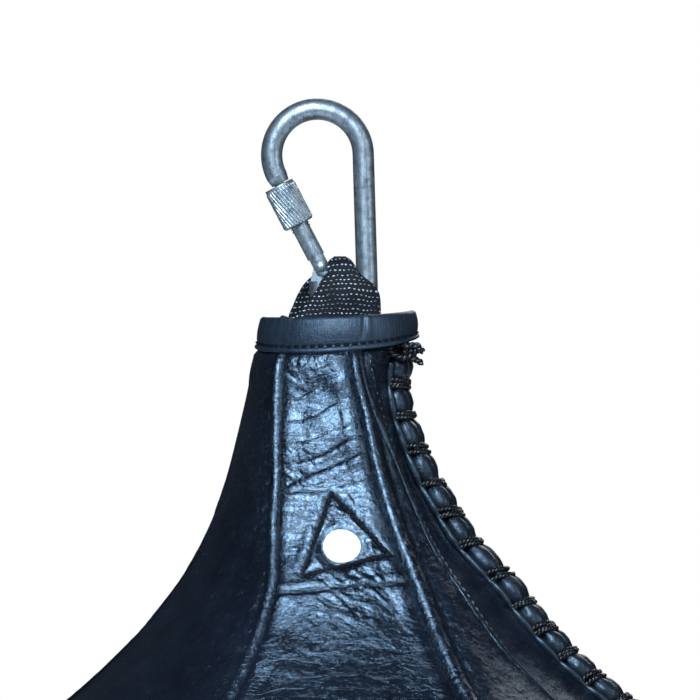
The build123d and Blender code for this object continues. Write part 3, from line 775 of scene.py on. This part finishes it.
def make_filling():
    """Packed textile scraps: lumpy on top, where the collar is open, plain inside."""
    piece = Piece()
    rows = []
    fill_top = depth_at(NECK_Z - 4.0)
    for n in range(12):
        row = []
        for c in range(72):
            angle = 360 * c / 72 - 30
            edge = wall_point(angle, fill_top, -FILLING_DEPTH, gore_at(angle, NECK_Z - 4))
            centre = Vector((BAG_X - 2, 0, edge.z))
            point = centre.lerp(edge, (n + 0.02) / 11)
            lumps = 1.6 * wave(point.x, point.y, 5, 7.0) + 0.9 * wave(point.x, point.y, 9, 3.0)
            point.z += lumps - 1.5 * (n / 11) ** 3
            row.append(point)
        rows.append(row)
    s = fill_top + 6.0
    while s < SHELL_LENGTH:
        row = []
        z = profile(s)[1]
        for c in range(72):
            angle = 360 * c / 72 - 30
            row.append(wall_point(angle, s, -FILLING_DEPTH, gore_at(angle, z)))
        rows.append(row)
        s += 12.0
    piece.grid(rows, around=True)
    piece.fan(0, 72, flip=False)
    piece.fan(len(piece.points) - 72, 72, flip=True)
    filling = piece.make("packed_scraps", "bag", "filling", SCRAPS, replaces=("filling",))
    outward(filling)
    return filling


# ---------------------------------------------------------------- laced opening
LIP_R = 5.1
LIP_PINCHED_R = 3.1
LIP_LIFT = 4.2
LIP_SPREAD = 4.9                          # half the distance between the two lips
LACE_PITCH = 15.4
FIRST_WRAP_Z = -117.5
LACE_STRAND_R = 0.68
FACING_DROP = 2.0                        # how far the facing lies under the gores
FACING_T = 1.2
WRAP_REACH, WRAP_RISE = 10.6, 4.3

lace_first = depth_at(FIRST_WRAP_Z)
lace_last = depth_at(LIP_END_Z + 4)
WRAPS = [lace_first + n * LACE_PITCH for n in range(int((lace_last - lace_first) / LACE_PITCH) + 1)]


def lacing_side(side):
    return RIGHT if side < 0 else RIGHT_BACK


def beside_lacing(s, across, lift):
    """A point beside the lacing: across in millimetres, - towards the front."""
    z = profile(s)[1]
    number = RIGHT if across < 0 else RIGHT_BACK
    middle = seam_angle(2, z)
    radius = shell_radius(middle, z, profile(s)[0], RIGHT) + max(0.0, lift)
    return wall_point(middle + degrees(across / radius), s, lift, number)


def nearest_wrap(s):
    return min(abs(s - w) for w in WRAPS)


def make_facing(side, node):
    """Leather strip from under the gore's stitched edge to the lip."""
    piece = Piece()
    rows = []
    s = -TUCK_UNDER_COLLAR
    while s < depth_at(LIP_END_Z - 64):
        z = profile(s)[1]
        laced = smoothstep(LIP_END_Z - 18, LIP_END_Z - 4, z)
        lacing = seam_angle(2, z)
        reach = lacing - smooth_curve(FACING_LINE, z)
        radius = shell_radius(lacing, z, profile(s)[0], RIGHT)
        row = []
        for c in range(31):
            t = c / 30
            off = mix(reach + degrees(5.0 / radius), degrees(1.0 / radius), t)
            lift = -FACING_DROP + 1.9 * laced * smoothstep(0.55, 1.0, t)
            lift += 0.45 * wave(t * 14, s, 3 * side, 9.0) * smoothstep(0.1, 0.5, t)
            lift -= 2.4 * smoothstep(0.4, 3.2, (off - reach) * radians(1) * radius)
            ridge_at = degrees(11.6 / radius)
            lift += 0.9 * laced * bump((off - ridge_at) * radians(1) * radius, 1.5)
            row.append(wall_point(lacing + side * off, s, lift, lacing_side(side)))
        rows.append(row)
        s += 1.6
    piece.grid(rows)
    facing = piece.make(f"leather_{node}", "bag", "shell_leather", SHELL, replaces=(node,))
    thicken(facing, FACING_T, 1 if side > 0 else -1)
    return facing


def make_lip(side, node, number):
    """Rolled lip that bulges between the wraps and puckers at each one."""
    piece = Piece()
    rings, sides = [], 34
    start, end = depth_at(NECK_Z - 1.5), depth_at(LIP_END_Z)
    count = int((end - start) / 0.75)
    stations = [mix(start, end, n / count) for n in range(count + 1)]
    centres = [beside_lacing(s, side * LIP_SPREAD, LIP_LIFT) for s in stations]
    for n, s in enumerate(stations):
        forward = (centres[min(n + 1, count)] - centres[max(n - 1, 0)]).normalized()
        up = wall_normal(seam_angle(2, profile(s)[1]), s)
        across = forward.cross(up).normalized()
        up = across.cross(forward)
        near = nearest_wrap(s)
        swell = smoothstep(0.6, 6.2, near)
        body = mix(LIP_PINCHED_R, LIP_R, swell ** 0.8) * (1 + 0.05 * wave(s, 5 * side, 1, 13.0))
        body *= smoothstep(-0.5, 4.0, s - start) * 0.35 + 0.65
        body *= smoothstep(-0.5, 6.0, end - s) * 0.45 + 0.55
        ring = []
        for k in range(sides):
            a = 2 * pi * k / sides
            crumple = noise.noise(Vector((cos(a) * 3.2, sin(a) * 3.2, s * 0.12 + 9 * side)))
            pucker = 0.30 * bump(near - 2.2, 2.6) * crumple
            fold = 0.16 * wave(10 * cos(a), 10 * sin(a), s + 30 * side, 4.0)
            r = body + pucker * 2 + fold
            ring.append(centres[n] + across * (r * cos(a)) + up * (r * 0.96 * sin(a)))
        rings.append(ring)
    piece.grid(rings, around=True)
    piece.fan(0, sides)
    piece.fan(count * sides, sides, flip=True)
    lip = piece.make(f"leather_{node}", "bag", "lip_leather", LIP, replaces=(node, f"lip_core_{number}"))
    outward(lip)
    return lip


def make_lip_ridge(side, number):
    """Narrow stitched ridge along the foot of a lip, pinched by the same wraps."""
    piece = Piece()
    start, end = depth_at(NECK_Z - 4), depth_at(LIP_END_Z + 3)
    count = int((end - start) / 0.9)
    stations = [mix(start, end, n / count) for n in range(count + 1)]
    centres, radii = [], []
    for s in stations:
        swell = smoothstep(0.4, 5.0, nearest_wrap(s))
        centres.append(beside_lacing(s, side * (LIP_SPREAD + 5.4 + 0.5 * swell), 1.6 + 0.5 * swell))
        radii.append((1.15 + 0.65 * swell) * (1 + 0.12 * wave(s, 3, 8 * side, 6.0)))
    piece.tube(centres, radii, sides=12)
    ridge = piece.make(f"lip_ridge_{number}", "bag", "lip_leather", LIP)
    outward(ridge)
    return ridge


def twisted_pair(piece, path, strand_r, twist_length, closed=False, phase=0.0):
    """Two strands twisted round a path of points."""
    count = len(path)
    travelled, side = 0.0, None
    strands = [[], []]
    for n, point in enumerate(path):
        ahead = path[(n + 1) % count] if closed else path[min(n + 1, count - 1)]
        behind = path[n - 1] if closed or n else path[0]
        forward = (ahead - behind).normalized()
        side = forward.orthogonal().normalized() if side is None else \
            (side - forward * side.dot(forward)).normalized()
        top = side.cross(forward)
        if n:
            travelled += (point - path[n - 1]).length
        a = 2 * pi * travelled / twist_length + phase
        for k in (0, 1):
            turn = a + pi * k
            strands[k].append(point + (side * cos(turn) + top * sin(turn)) * strand_r * 0.86)
    for strand in strands:
        piece.tube(strand, strand_r, sides=9, closed=closed)


def wrap_path(s, slant):
    """One wrap round both lips and both ridges, as a closed rounded loop."""
    points, count = [], 72
    for n in range(count):
        a = 2 * pi * n / count
        ca, sa = cos(a), sin(a)
        across = WRAP_REACH * abs(ca) ** 0.75 * (1 if ca > 0 else -1)
        height = WRAP_RISE * abs(sa) ** 0.72 * (1 if sa > 0 else -1)
        dip = 0.75 * bump(across, 2.2) if sa > 0 else 0.0
        points.append(beside_lacing(s + slant * across / WRAP_REACH, across, LIP_LIFT - 0.3 + height - dip))
    return points


def make_lace():
    """Waxed lace, wound round the lips in separate wraps."""
    piece = Piece()
    for n, s in enumerate(WRAPS):
        slant = 1.1 + 1.0 * noise.noise(Vector((n * 1.7, 0.3, 0)))
        for k, (shift, lean) in enumerate(((-1.3, 1.0), (0.1, 0.3), (1.5, 0.9))):
            if (n + k) % 4 == 3:
                continue
            stray = 0.4 * noise.noise(Vector((n * 2.3, k * 5.1, 1)))
            path = wrap_path(s + shift + stray, slant * lean)
            twisted_pair(piece, path, LACE_STRAND_R, 4.2, closed=True, phase=n + 2 * k)
    lace = piece.make("waxed_lace", "bag", "lace_cord", LACE, replaces=("lace",))
    outward(lace)
    return lace


def make_knot():
    """Overhand knot at the top of the lacing: a knotted loop, two cut ends and the lace's way in."""
    piece = Piece()
    top = beside_lacing(depth_at(NECK_Z + 1.0), -7.5, 7.2)
    loop = []
    for n in range(90):
        a = 2 * pi * n / 90
        x = (sin(a) + 2 * sin(2 * a)) * 1.6
        z = (cos(a) - 2 * cos(2 * a)) * 1.25
        y = -sin(3 * a) * 1.6
        loop.append(top + Vector((x, y - 1.0, z * 0.85)))
    twisted_pair(piece, loop, 0.85, 5.0, closed=True)
    ends = (
        [(-2, -2, 1.5), (1.5, -3, 2.2), (4.0, -3, 1.2), (6.2, -2.4, -0.6)],
        [(-3, -3, -2.6), (0.5, -4.0, -3.8), (3.6, -3.6, -4.2), (5.8, -2.6, -5.8)],
        [(-9.5, -4, 1.5), (-7.5, -5, -1.6), (-3, -5, -3.4), (1, -4.2, -2.4)],
    )
    for route in ends:
        path = []
        for n in range(25):
            t = n / 24 * (len(route) - 1)
            i = min(int(t), len(route) - 2)
            path.append(top + Vector(route[i]).lerp(Vector(route[i + 1]), smoothstep(0, 1, t - i)))
        twisted_pair(piece, path, 0.85, 4.6)
    knot = piece.make("waxed_lace_knot", "bag", "lace_cord", LACE, replaces=("lace_knot",))
    outward(knot)
    return knot


# ---------------------------------------------------------------- collar
COLLAR_X = BAG_X - 2.0
COLLAR_R = 34.4
COLLAR_FOLD_R = 1.7


def collar_edges(angle):
    """Heights of the collar's upper and lower edge; it hangs a little higher on the right."""
    a = radians(angle)
    front = max(0.0, cos(a))
    crown = -85.8 + 1.3 * sin(a) - 0.4 * front - 3.0 * max(0.0, -cos(a))
    foot = collar_foot(angle)
    soft = 0.30 * wave(cos(a) * 20, sin(a) * 20, 4, 14.0)
    nick = 0.9 * bump((angle + 50) % 360 - 0.0, 6) - 0.5 * bump((angle + 38) % 360, 6)
    return crown + soft + nick, foot + 0.5 * soft


def collar_radius(angle, height):
    """Outer radius of the collar at a share of its height, with its crease and soft waves."""
    a = radians(angle)
    flare = 0.9 * (1 - height) + 0.35 * sin(pi * min(1.0, max(0.0, height)))
    flare += 0.9 * max(0.0, -sin(a)) * (1 - height)
    crease = -0.9 * bump(angle - 18.5 - 3 * (height - 0.5), 1.5) * smoothstep(0.15, 0.5, height)
    crease += 0.45 * bump(angle - 22.5, 2.4) * smoothstep(0.15, 0.5, height)
    dent = -0.7 * bump(angle + 49, 13) * smoothstep(0.3, 0.9, height) + 0.5 * bump(angle + 30, 12) * height
    soft = 0.5 * wave(cos(a) * 22, sin(a) * 22, height * 9, 12.0)
    return COLLAR_R + flare + crease + dent + soft


def collar_point(angle, height, lift):
    """A point on the collar: height from 0 at the hem to 1 at the fold, lift outwards."""
    crown, foot = collar_edges(angle)
    a = radians(angle)
    radius = collar_radius(angle, height) + lift
    return Vector((COLLAR_X + radius * sin(a), -radius * cos(a), mix(foot, crown, height)))


def make_collar():
    """Band of leather, folded over at the top, with a stitched hem that stands proud."""
    piece = Piece()
    section = []
    for n in range(10):
        section.append((0.08 + 0.82 * n / 9, -2 * COLLAR_FOLD_R))
    for n in range(1, 12):
        a = pi - pi * n / 12
        section.append((0.9 + 0.115 * sin(a), -COLLAR_FOLD_R + COLLAR_FOLD_R * cos(a)))
    for n in range(19):
        section.append((0.9 - (0.9 - 0.27) * n / 18, 0.25 * sin(pi * n / 18)))
    section += [(0.235, -0.12), (0.205, -0.45), (0.175, -0.62), (0.15, -0.45), (0.125, -0.05), (0.10, 0.35),
                (0.07, 0.62), (0.035, 0.70), (0.005, 0.55), (-0.015, 0.15), (-0.018, -0.6), (-0.01, -1.6),
                (0.02, -2.6), (0.05, -3.1)]
    count = 300
    rows = [[collar_point(360 * c / count - 180, height, lift) for c in range(count)]
            for height, lift in section]
    piece.grid(rows, around=True, along=True)
    collar = piece.make("leather_collar_band", "bag", "collar_leather", COLLAR, replaces=("collar_band",))
    outward(collar)
    return collar


def make_collar_lining():
    """Cloth ring inside the collar."""
    piece = Piece()
    section = [(0.12, -3.6), (0.5, -3.6), (0.86, -3.6), (0.9, -3.9), (0.86, -4.4), (0.5, -4.4), (0.12, -4.4)]
    rows = [[collar_point(360 * c / 120 - 180, height, lift) for c in range(120)] for height, lift in section]
    piece.grid(rows, around=True, along=True)
    ring = piece.make("cloth_collar_lining", "bag", "lining_cloth", CLOTH, replaces=("collar_lining",))
    outward(ring)
    return ring


def make_straps():
    """Inner straps that run down the lining, front and back, to the anchor rivets."""
    for side, name in ((-1, "front"), (1, "back")):
        piece, rows, uvs = Piece(), [], []
        for n in range(56):
            s = mix(depth_at(STRAP_TOP_Z), depth_at(STRAP_END_Z), n / 55)
            z = profile(s)[1]
            row, row_uv = [], []
            for c in range(15):
                x = mix(-STRAP_HALF, STRAP_HALF, c / 14)
                angle = degrees(asin(x / profile(s)[0]))
                angle = angle if side < 0 else 180 - angle
                row.append(wall_point(angle, s, -STRAP_LIFT, gore_at(angle, z)))
                row_uv.append((x / DASH_PITCH, s / RIB_PITCH))
            rows.append(row)
            uvs.append(row_uv)
        piece.grid(rows, uvs=uvs)
        strap = piece.make(f"strap_web_{name}", "bag", "webbing", WEBBING, replaces=(f"strap_{name}",))
        thicken(strap, STRAP_T, 0)


# ---------------------------------------------------------------- webbing
STRAP_TOP_Z, STRAP_END_Z = -130.0, -212.0
STRAP_HALF = 19.0
STRAP_LIFT = 4.9                         # below the shell's outer face
STRAP_T = 1.2
WEB_T = 1.9
WEB_ARCH_R = 6.0
CROWN_Z = -62.2
FRONT_LEFT_EDGE = [(-62.2, 7.2), (-63.2, 5.8), (-66, 4.6), (-70, 2.5), (-74.3, 0.6), (-77.4, -1.6),
                   (-81, -4.6),
                   (-87, -9.2), (-95, -10.5), (-150, BAG_X - 19.3)]
FRONT_RIGHT_EDGE = [(-62.2, 12.6), (-63.2, 15.0), (-65.3, 17.4), (-69.9, 21.2), (-73.5, 24.8), (-77, 26.9),
                    (-87.2, 27.5), (-150, BAG_X + 19.3)]
BACK_LEFT_EDGE = [(-62.2, 7.2), (-63.2, 5.4), (-66, 1.5), (-69.9, -3.2), (-77, -8.2), (-81.4, -10.2),
                  (-86.7, -12.4),
                  (-95, -12.0), (-150, BAG_X - 19.3)]
BACK_RIGHT_EDGE = [(-62.2, 12.6), (-63.2, 14.6), (-66, 16.2), (-72, 19.0), (-80, 23.5), (-87, 26.4),
                   (-150, BAG_X + 19.3)]
DASH_PITCH = 1.95
RIB_PITCH = 2.2
WEB_BOTTOM_Z = -146.0


def webbing_depth(z, u):
    """How far the ply stands off the carabiner's middle plane at a height."""
    top = CROWN_Z - WEB_ARCH_R
    if z > top:
        return WEB_ARCH_R * sqrt(max(0.0, 1 - ((z - top) / WEB_ARCH_R) ** 2))
    out = WEB_ARCH_R + 1.6 * smoothstep(top, top - 9, z)
    out += 19.5 * smoothstep(-98, -152, z)
    return out + 0.7 * cos(u * 2.2) * smoothstep(-66, -74, z) * smoothstep(-108, -84, z)


def make_webbing():
    """Ribbed webbing through the carabiner's small bow; it bunches at the crown and fans out below."""
    piece = Piece()
    across, rows, uvs = 44, [], []
    heights = []
    arch = 22
    z = WEB_BOTTOM_Z
    while z < CROWN_Z - WEB_ARCH_R:
        heights.append(z)
        z += 0.8
    turn = [(CROWN_Z - WEB_ARCH_R + WEB_ARCH_R * sin(pi * n / arch), n / arch) for n in range(arch + 1)]
    stations = [(h, -1, 0.0) for h in heights]
    stations += [(h, -1 if t < 0.5 else 1, t) for h, t in turn]
    stations += [(h, 1, 1.0) for h in reversed(heights)]
    middle_before, travelled = None, 0.0
    for z, side, t in stations:
        left = mix(smooth_curve(FRONT_LEFT_EDGE, z), smooth_curve(BACK_LEFT_EDGE, z), t)
        right = mix(smooth_curve(FRONT_RIGHT_EDGE, z), smooth_curve(BACK_RIGHT_EDGE, z), t)
        row, row_uv = [], []
        middle = Vector(((left + right) / 2, side * webbing_depth(z, 0), z))
        if middle_before is not None:
            travelled += (middle - middle_before).length
        middle_before = middle
        for c in range(across + 1):
            u = 2 * c / across - 1
            x = mix(left, right, (u + 1) / 2)
            hang = 1.1 * u * u * smoothstep(-61, -72, z) * smoothstep(-112, -86, z)
            depth = webbing_depth(z - hang, u)
            curl = 0.9 * abs(u) ** 6 * smoothstep(-66, -74, z) * smoothstep(-106, -90, z)
            ripple = 0.35 * wave(x, side * 20, z, 9.0) * smoothstep(-62, -68, z)
            y = side * (depth - curl + ripple)
            row.append(Vector((x, y, z - hang * 0.9)))
            row_uv.append(((x - BAG_X) / DASH_PITCH, travelled / RIB_PITCH + 0.35 * u * u))
        rows.append(row)
        uvs.append(row_uv)
    piece.grid(rows, uvs=uvs)
    webbing = piece.make("ribbed_webbing", None, None, WEBBING)
    thicken(webbing, WEB_T, 1)
    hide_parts("webbing_loop")
    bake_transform(webbing)
    return webbing


# ---------------------------------------------------------------- knurled sleeve
SLEEVE_R = 7.1
SLEEVE_MOUTH_R = 6.1
SLEEVE_BORE_R = 4.35
SLEEVE_LENGTH = 19.6
SLEEVE_MOUTH_DEPTH = 9.0
GATE_TILT = radians(27.6)
KNURLS = 27
KNURL_LEAN = 0.33


def make_sleeve():
    """Screw sleeve with slanting knurls, crossed by a lighter set."""
    piece = Piece()
    middle = (sleeve_low + sleeve_high) / 2
    axis = Vector((-sin(GATE_TILT), 0, cos(GATE_TILT)))
    right = Vector((cos(GATE_TILT), 0, sin(GATE_TILT)))
    front = Vector((0, -1, 0))
    half = SLEEVE_LENGTH / 2
    section = [(SLEEVE_BORE_R, half - SLEEVE_MOUTH_DEPTH, 0), (SLEEVE_BORE_R, -half + 0.3, 0),
               (SLEEVE_BORE_R + 0.3, -half, 0), (SLEEVE_R - 1.1, -half, 0),
               (SLEEVE_R - 0.55, -half + 0.25, 0), (SLEEVE_R - 0.3, -half + 0.75, 0)]
    lines = 84
    for n in range(lines + 1):
        section.append((SLEEVE_R, mix(-half + 0.85, half - 1.5, n / lines), 1))
    section += [(SLEEVE_R - 0.42, half - 1.35, 0), (SLEEVE_R - 0.30, half - 0.9, 0),
                (SLEEVE_R - 0.30, half - 0.35, 0), (SLEEVE_R - 0.42, half - 0.1, 0),
                (SLEEVE_R - 0.55, half, 0),
                (SLEEVE_MOUTH_R + 0.12, half, 0), (SLEEVE_MOUTH_R, half - 0.15, 0),
                (SLEEVE_MOUTH_R, half - SLEEVE_MOUTH_DEPTH, 0)]
    count = 416
    rows = []
    for radius, along, knurled in section:
        row = []
        for c in range(count):
            a = 2 * pi * c / count
            r = radius
            if knurled:
                around = a * SLEEVE_R
                step = 2 * pi * SLEEVE_R / KNURLS
                main = abs(((around + along * KNURL_LEAN) / step) % 1 - 0.5) * 2
                cross = abs(((around - along * KNURL_LEAN) / step) % 1 - 0.5) * 2
                side_on = smoothstep(0.2, 0.8, sin(a - 0.5))
                r -= (0.46 * smoothstep(0.35, 1.0, main)
                      + mix(0.05, 0.3, side_on) * smoothstep(0.55, 1.0, cross))
                r -= 0.3 * (1 - smoothstep(0, 0.7, half - 1.5 - along)) + 0.05 * wave(around, along, 2, 2.0)
            row.append(middle + axis * along + (right * sin(a) + front * cos(a)) * r)
        rows.append(row)
    piece.grid(rows, around=True, along=True)
    sleeve = piece.make("knurled_sleeve", "sleeve", "sleeve_steel", SLEEVE_STEEL, replaces=("lock_sleeve",))
    outward(sleeve)
    return sleeve


# ---------------------------------------------------------------- base patch and stitches
PATCH_R = 62.0
PATCH_SKIN_T = 0.6
def make_base_patch():
    """Round patch over the point where the gores meet, with a pressed edge."""
    piece = Piece()
    reach = asin(PATCH_R / BELLY_R)
    rings, count, turns = 26, 144, []
    for n in range(rings + 1):
        t = n / rings
        lift = (0.5 + (BASE_PATCH_T - 0.9) * (1 - smoothstep(0.95, 1.0, t))
                - 0.5 * bump((1 - t) * PATCH_R - 5.0, 1.2))
        turns.append((reach * t, lift))
    turns.append((reach, -1.2))
    rows = []
    for angle, lift in turns:
        row = []
        for c in range(count):
            a = 2 * pi * c / count
            r = BELLY_R + lift + (
                0.3 * wave(60 * sin(a) * angle, 60 * cos(a) * angle, 3, 9.0) if lift > 0 else 0)
            lean = max(angle, 0.002)
            row.append(Vector((BAG_X + r * sin(lean) * sin(a),
                               -r * sin(lean) * cos(a), BELLY_Z - r * cos(lean))))
        rows.append(row)
    piece.grid(rows, around=True)
    piece.fan(0, count, flip=True)
    patch = piece.make("leather_base_patch", "bag", "collar_leather", COLLAR, replaces=("base_patch",))
    thicken(patch, PATCH_SKIN_T, -1)
    return patch


def stitch_line(piece, points, normals, pitch, length, radius, sink=0.15, waver=0.0):
    """Single stitches along a line: each one a short thread that dips at both ends."""
    travelled = [0.0]
    for a, b in zip(points, points[1:]):
        travelled.append(travelled[-1] + (b - a).length)

    def at(distance):
        distance = min(max(distance, 0.0), travelled[-1] - 1e-6)
        i = max(k for k in range(len(points) - 1) if travelled[k] <= distance)
        t = (distance - travelled[i]) / max(1e-6, travelled[i + 1] - travelled[i])
        return points[i].lerp(points[i + 1], t), normals[i].lerp(normals[i + 1], t).normalized()

    start, number = pitch / 2, 0
    while start + length / 2 < travelled[-1]:
        centres, radii = [], []
        for n in range(7):
            t = n / 6 * 2 - 1
            point, normal = at(start + t * length / 2)
            side = normal.cross(at(start + 0.5)[0] - at(start - 0.5)[0]).normalized()
            skew = waver * noise.noise(Vector((number * 1.3, 0.7, 2.0))) * t
            centres.append(point + normal * (radius * (1 - t * t) - sink) + side * skew)
            radii.append(radius * (0.45 + 0.55 * (1 - t ** 4)))
        piece.tube(centres, radii, sides=8)
        start += pitch
        number += 1


def make_hem_stitches():
    """Stitches round the collar's hem."""
    piece = Piece()
    points = [collar_point(n * 2 - 180, 0.18, -0.2) for n in range(181)]
    normals = [Vector((sin(radians(n * 2 - 180)), -cos(radians(n * 2 - 180)), 0)) for n in range(181)]
    stitch_line(piece, points, normals, 3.8, 2.7, 0.42, waver=0.3)
    return piece.make("hem_stitches", "bag", "lace_cord", ANCHOR_THREAD)


def make_seam_stitches():
    """Stitches along both facings."""
    piece = Piece()
    for side in (-1, 1):
        points, normals = [], []
        s = 1.0
        while s < depth_at(LIP_END_Z + 2):
            z = profile(s)[1]
            lacing = seam_angle(2, z)
            radius = shell_radius(lacing, z, profile(s)[0], RIGHT)
            inset = mix(3.4, 6.2, smoothstep(0, 90, s))
            off = lacing - smooth_curve(FACING_LINE, z) - degrees(inset / radius)
            points.append(wall_point(lacing + side * off, s, -FACING_DROP + 0.75, lacing_side(side)))
            normals.append(wall_normal(lacing + side * off, s))
            s += 1.5
        stitch_line(piece, points, normals, 3.6, 2.7, 0.46, waver=0.25)
    return piece.make("facing_stitches", "bag", "lace_cord", THREAD)


def front_surface(x, z, lift):
    """The point of the front gore in front of an (x, z) place, and its normal."""
    s = depth_at(z)
    angle = degrees(asin((x - BAG_X) / shell_radius(0, z, profile(s)[0], FRONT)))
    for _ in range(3):
        radius = shell_radius(angle, z, profile(s)[0], FRONT)
        angle = degrees(asin(max(-0.99, min(0.99, (x - BAG_X) / radius))))
    return wall_point(angle, s, lift, FRONT), wall_normal(angle, s)


def make_anchor_stitches():
    """Heavy thread in the triangle round the anchor cap and in the line under it."""
    piece = Piece()
    corners = triangle_points()
    runs = [(corners[0], corners[1]), (corners[1], corners[2]), (corners[2], corners[0])]
    for (x0, z0), (x1, z1) in runs:
        points, normals = [], []
        for n in range(31):
            t = mix(-0.03, 1.03, n / 30)
            point, normal = front_surface(mix(x0, x1, t), mix(z0, z1, t), 0.3)
            points.append(point)
            normals.append(normal)
        stitch_line(piece, points, normals, 2.9, 3.4, 1.15, sink=0.25, waver=0.5)
    points, normals = [], []
    for n in range(61):
        x = mix(BAG_X - 27.0, BAG_X + 31.0, n / 60)
        point, normal = front_surface(x, hem_line_z(x), 0.2)
        points.append(point)
        normals.append(normal)
    stitch_line(piece, points, normals, 3.1, 3.0, 0.6, sink=0.1, waver=0.4)
    return piece.make("anchor_stitches", "bag", "lace_cord", ANCHOR_THREAD)


def make_base_stitches():
    """Two rings of stitches round the base patch."""
    piece = Piece()
    for inset in (5.0, 9.0):
        lean = asin((PATCH_R - inset) / BELLY_R)
        points, normals = [], []
        for n in range(181):
            a = 2 * pi * n / 180
            normal = Vector((sin(lean) * sin(a), -sin(lean) * cos(a), -cos(lean)))
            points.append(Vector((BAG_X, 0, BELLY_Z)) + normal * (BELLY_R + 1.9))
            normals.append(normal)
        stitch_line(piece, points, normals, 4.0, 3.0, 0.4)
    return piece.make("base_stitches", "bag", "lace_cord", THREAD)


# ---------------------------------------------------------------- stage, lights, camera
FLOOR_DROP = 60.0                        # from the base patch to the floor, in millimetres
FLOOR_R = 1.2
CAMERA_DISTANCE = 4.0
CAMERA_ELEVATION = radians(1.5)
CAMERA_AIM = Vector((0.0144, 0.0, -0.1018))
FRAME_WIDTH = 0.3097
SENSOR = 36.0


def area_light(name, place, aim, size, power, color):
    """A soft rectangular light, aimed at a point."""
    data = bpy.data.lights.new(name, "AREA")
    data.shape = "RECTANGLE"
    data.size, data.size_y = size
    data.energy = power
    data.color = color
    light = bpy.data.objects.new(name, data)
    bpy.context.scene.collection.objects.link(light)
    light.location = place
    light.rotation_euler = (Vector(aim) - Vector(place)).to_track_quat("-Z", "Y").to_euler()
    return light


def make_stage():
    """Plain pale floor under the hanging bag, pale surroundings, and soft lights."""
    floor_z = (patch_low.z - FLOOR_DROP) * MM
    bpy.ops.mesh.primitive_circle_add(vertices=96, radius=FLOOR_R, fill_type="NGON", location=(0, 0, floor_z))
    ground = bpy.context.object
    ground.name = "floor"
    pale = Shader("pale_floor", (0.86, 0.86, 0.86), 0.9)
    ground.data.materials.append(pale.material)

    world = bpy.data.worlds.new("pale_studio")
    world.use_nodes = True
    nodes, links = world.node_tree.nodes, world.node_tree.links
    seen = nodes["Background"]
    seen.inputs["Color"].default_value = (1, 1, 1, 1)
    seen.inputs["Strength"].default_value = 1.0
    lit = nodes.new("ShaderNodeBackground")
    lit.inputs["Color"].default_value = (0.62, 0.76, 1.0, 1)
    lit.inputs["Strength"].default_value = 0.05
    path = nodes.new("ShaderNodeLightPath")
    switch = nodes.new("ShaderNodeMixShader")
    links.new(path.outputs["Is Camera Ray"], switch.inputs["Fac"])
    links.new(lit.outputs[0], switch.inputs[1])
    links.new(seen.outputs[0], switch.inputs[2])
    links.new(switch.outputs[0], nodes["World Output"].inputs["Surface"])
    bpy.context.scene.world = world

    aim = (0.01, 0, -0.16)
    area_light("key", (-0.42, -1.75, 1.10), aim, (0.62, 1.5), 120, (0.66, 0.83, 1.0))
    area_light("front_strip", (0.40, -2.1, 0.75), aim, (0.22, 1.1), 18, (0.70, 0.85, 1.0))
    area_light("right_strip", (1.35, -0.95, 0.15), aim, (0.35, 1.2), 10, (0.80, 0.90, 1.0))
    area_light("back_fill", (0.5, 1.9, 0.9), aim, (1.2, 1.2), 12, (0.86, 0.92, 1.0))


def make_camera():
    """Long camera in front of the bag, nearly level with it."""
    back = Vector((0, -cos(CAMERA_ELEVATION), sin(CAMERA_ELEVATION)))
    data = bpy.data.cameras.new("camera")
    data.sensor_width = SENSOR
    data.lens = SENSOR * CAMERA_DISTANCE / FRAME_WIDTH
    data.clip_start, data.clip_end = 0.05, 50
    camera = bpy.data.objects.new("camera", data)
    bpy.context.scene.collection.objects.link(camera)
    camera.location = CAMERA_AIM + back * CAMERA_DISTANCE
    camera.rotation_euler = (-back).to_track_quat("-Z", "Y").to_euler()
    bpy.context.scene.camera = camera
    bpy.context.scene.view_settings.view_transform = "Standard"


make_camera()
make_stage()
finish_cad_nodes()
make_gores()
make_lining()
make_filling()
for way, side_name in ((-1, "front"), (1, "back")):
    make_facing(way, f"facing_{side_name}")
    make_lip(way, f"lip_{side_name}", side_name)
    make_lip_ridge(way, side_name)
make_lace()
make_knot()
make_collar()
make_collar_lining()
make_straps()
make_webbing()
make_sleeve()
make_base_patch()
make_hem_stitches()
make_seam_stitches()
make_anchor_stitches()
make_base_stitches()
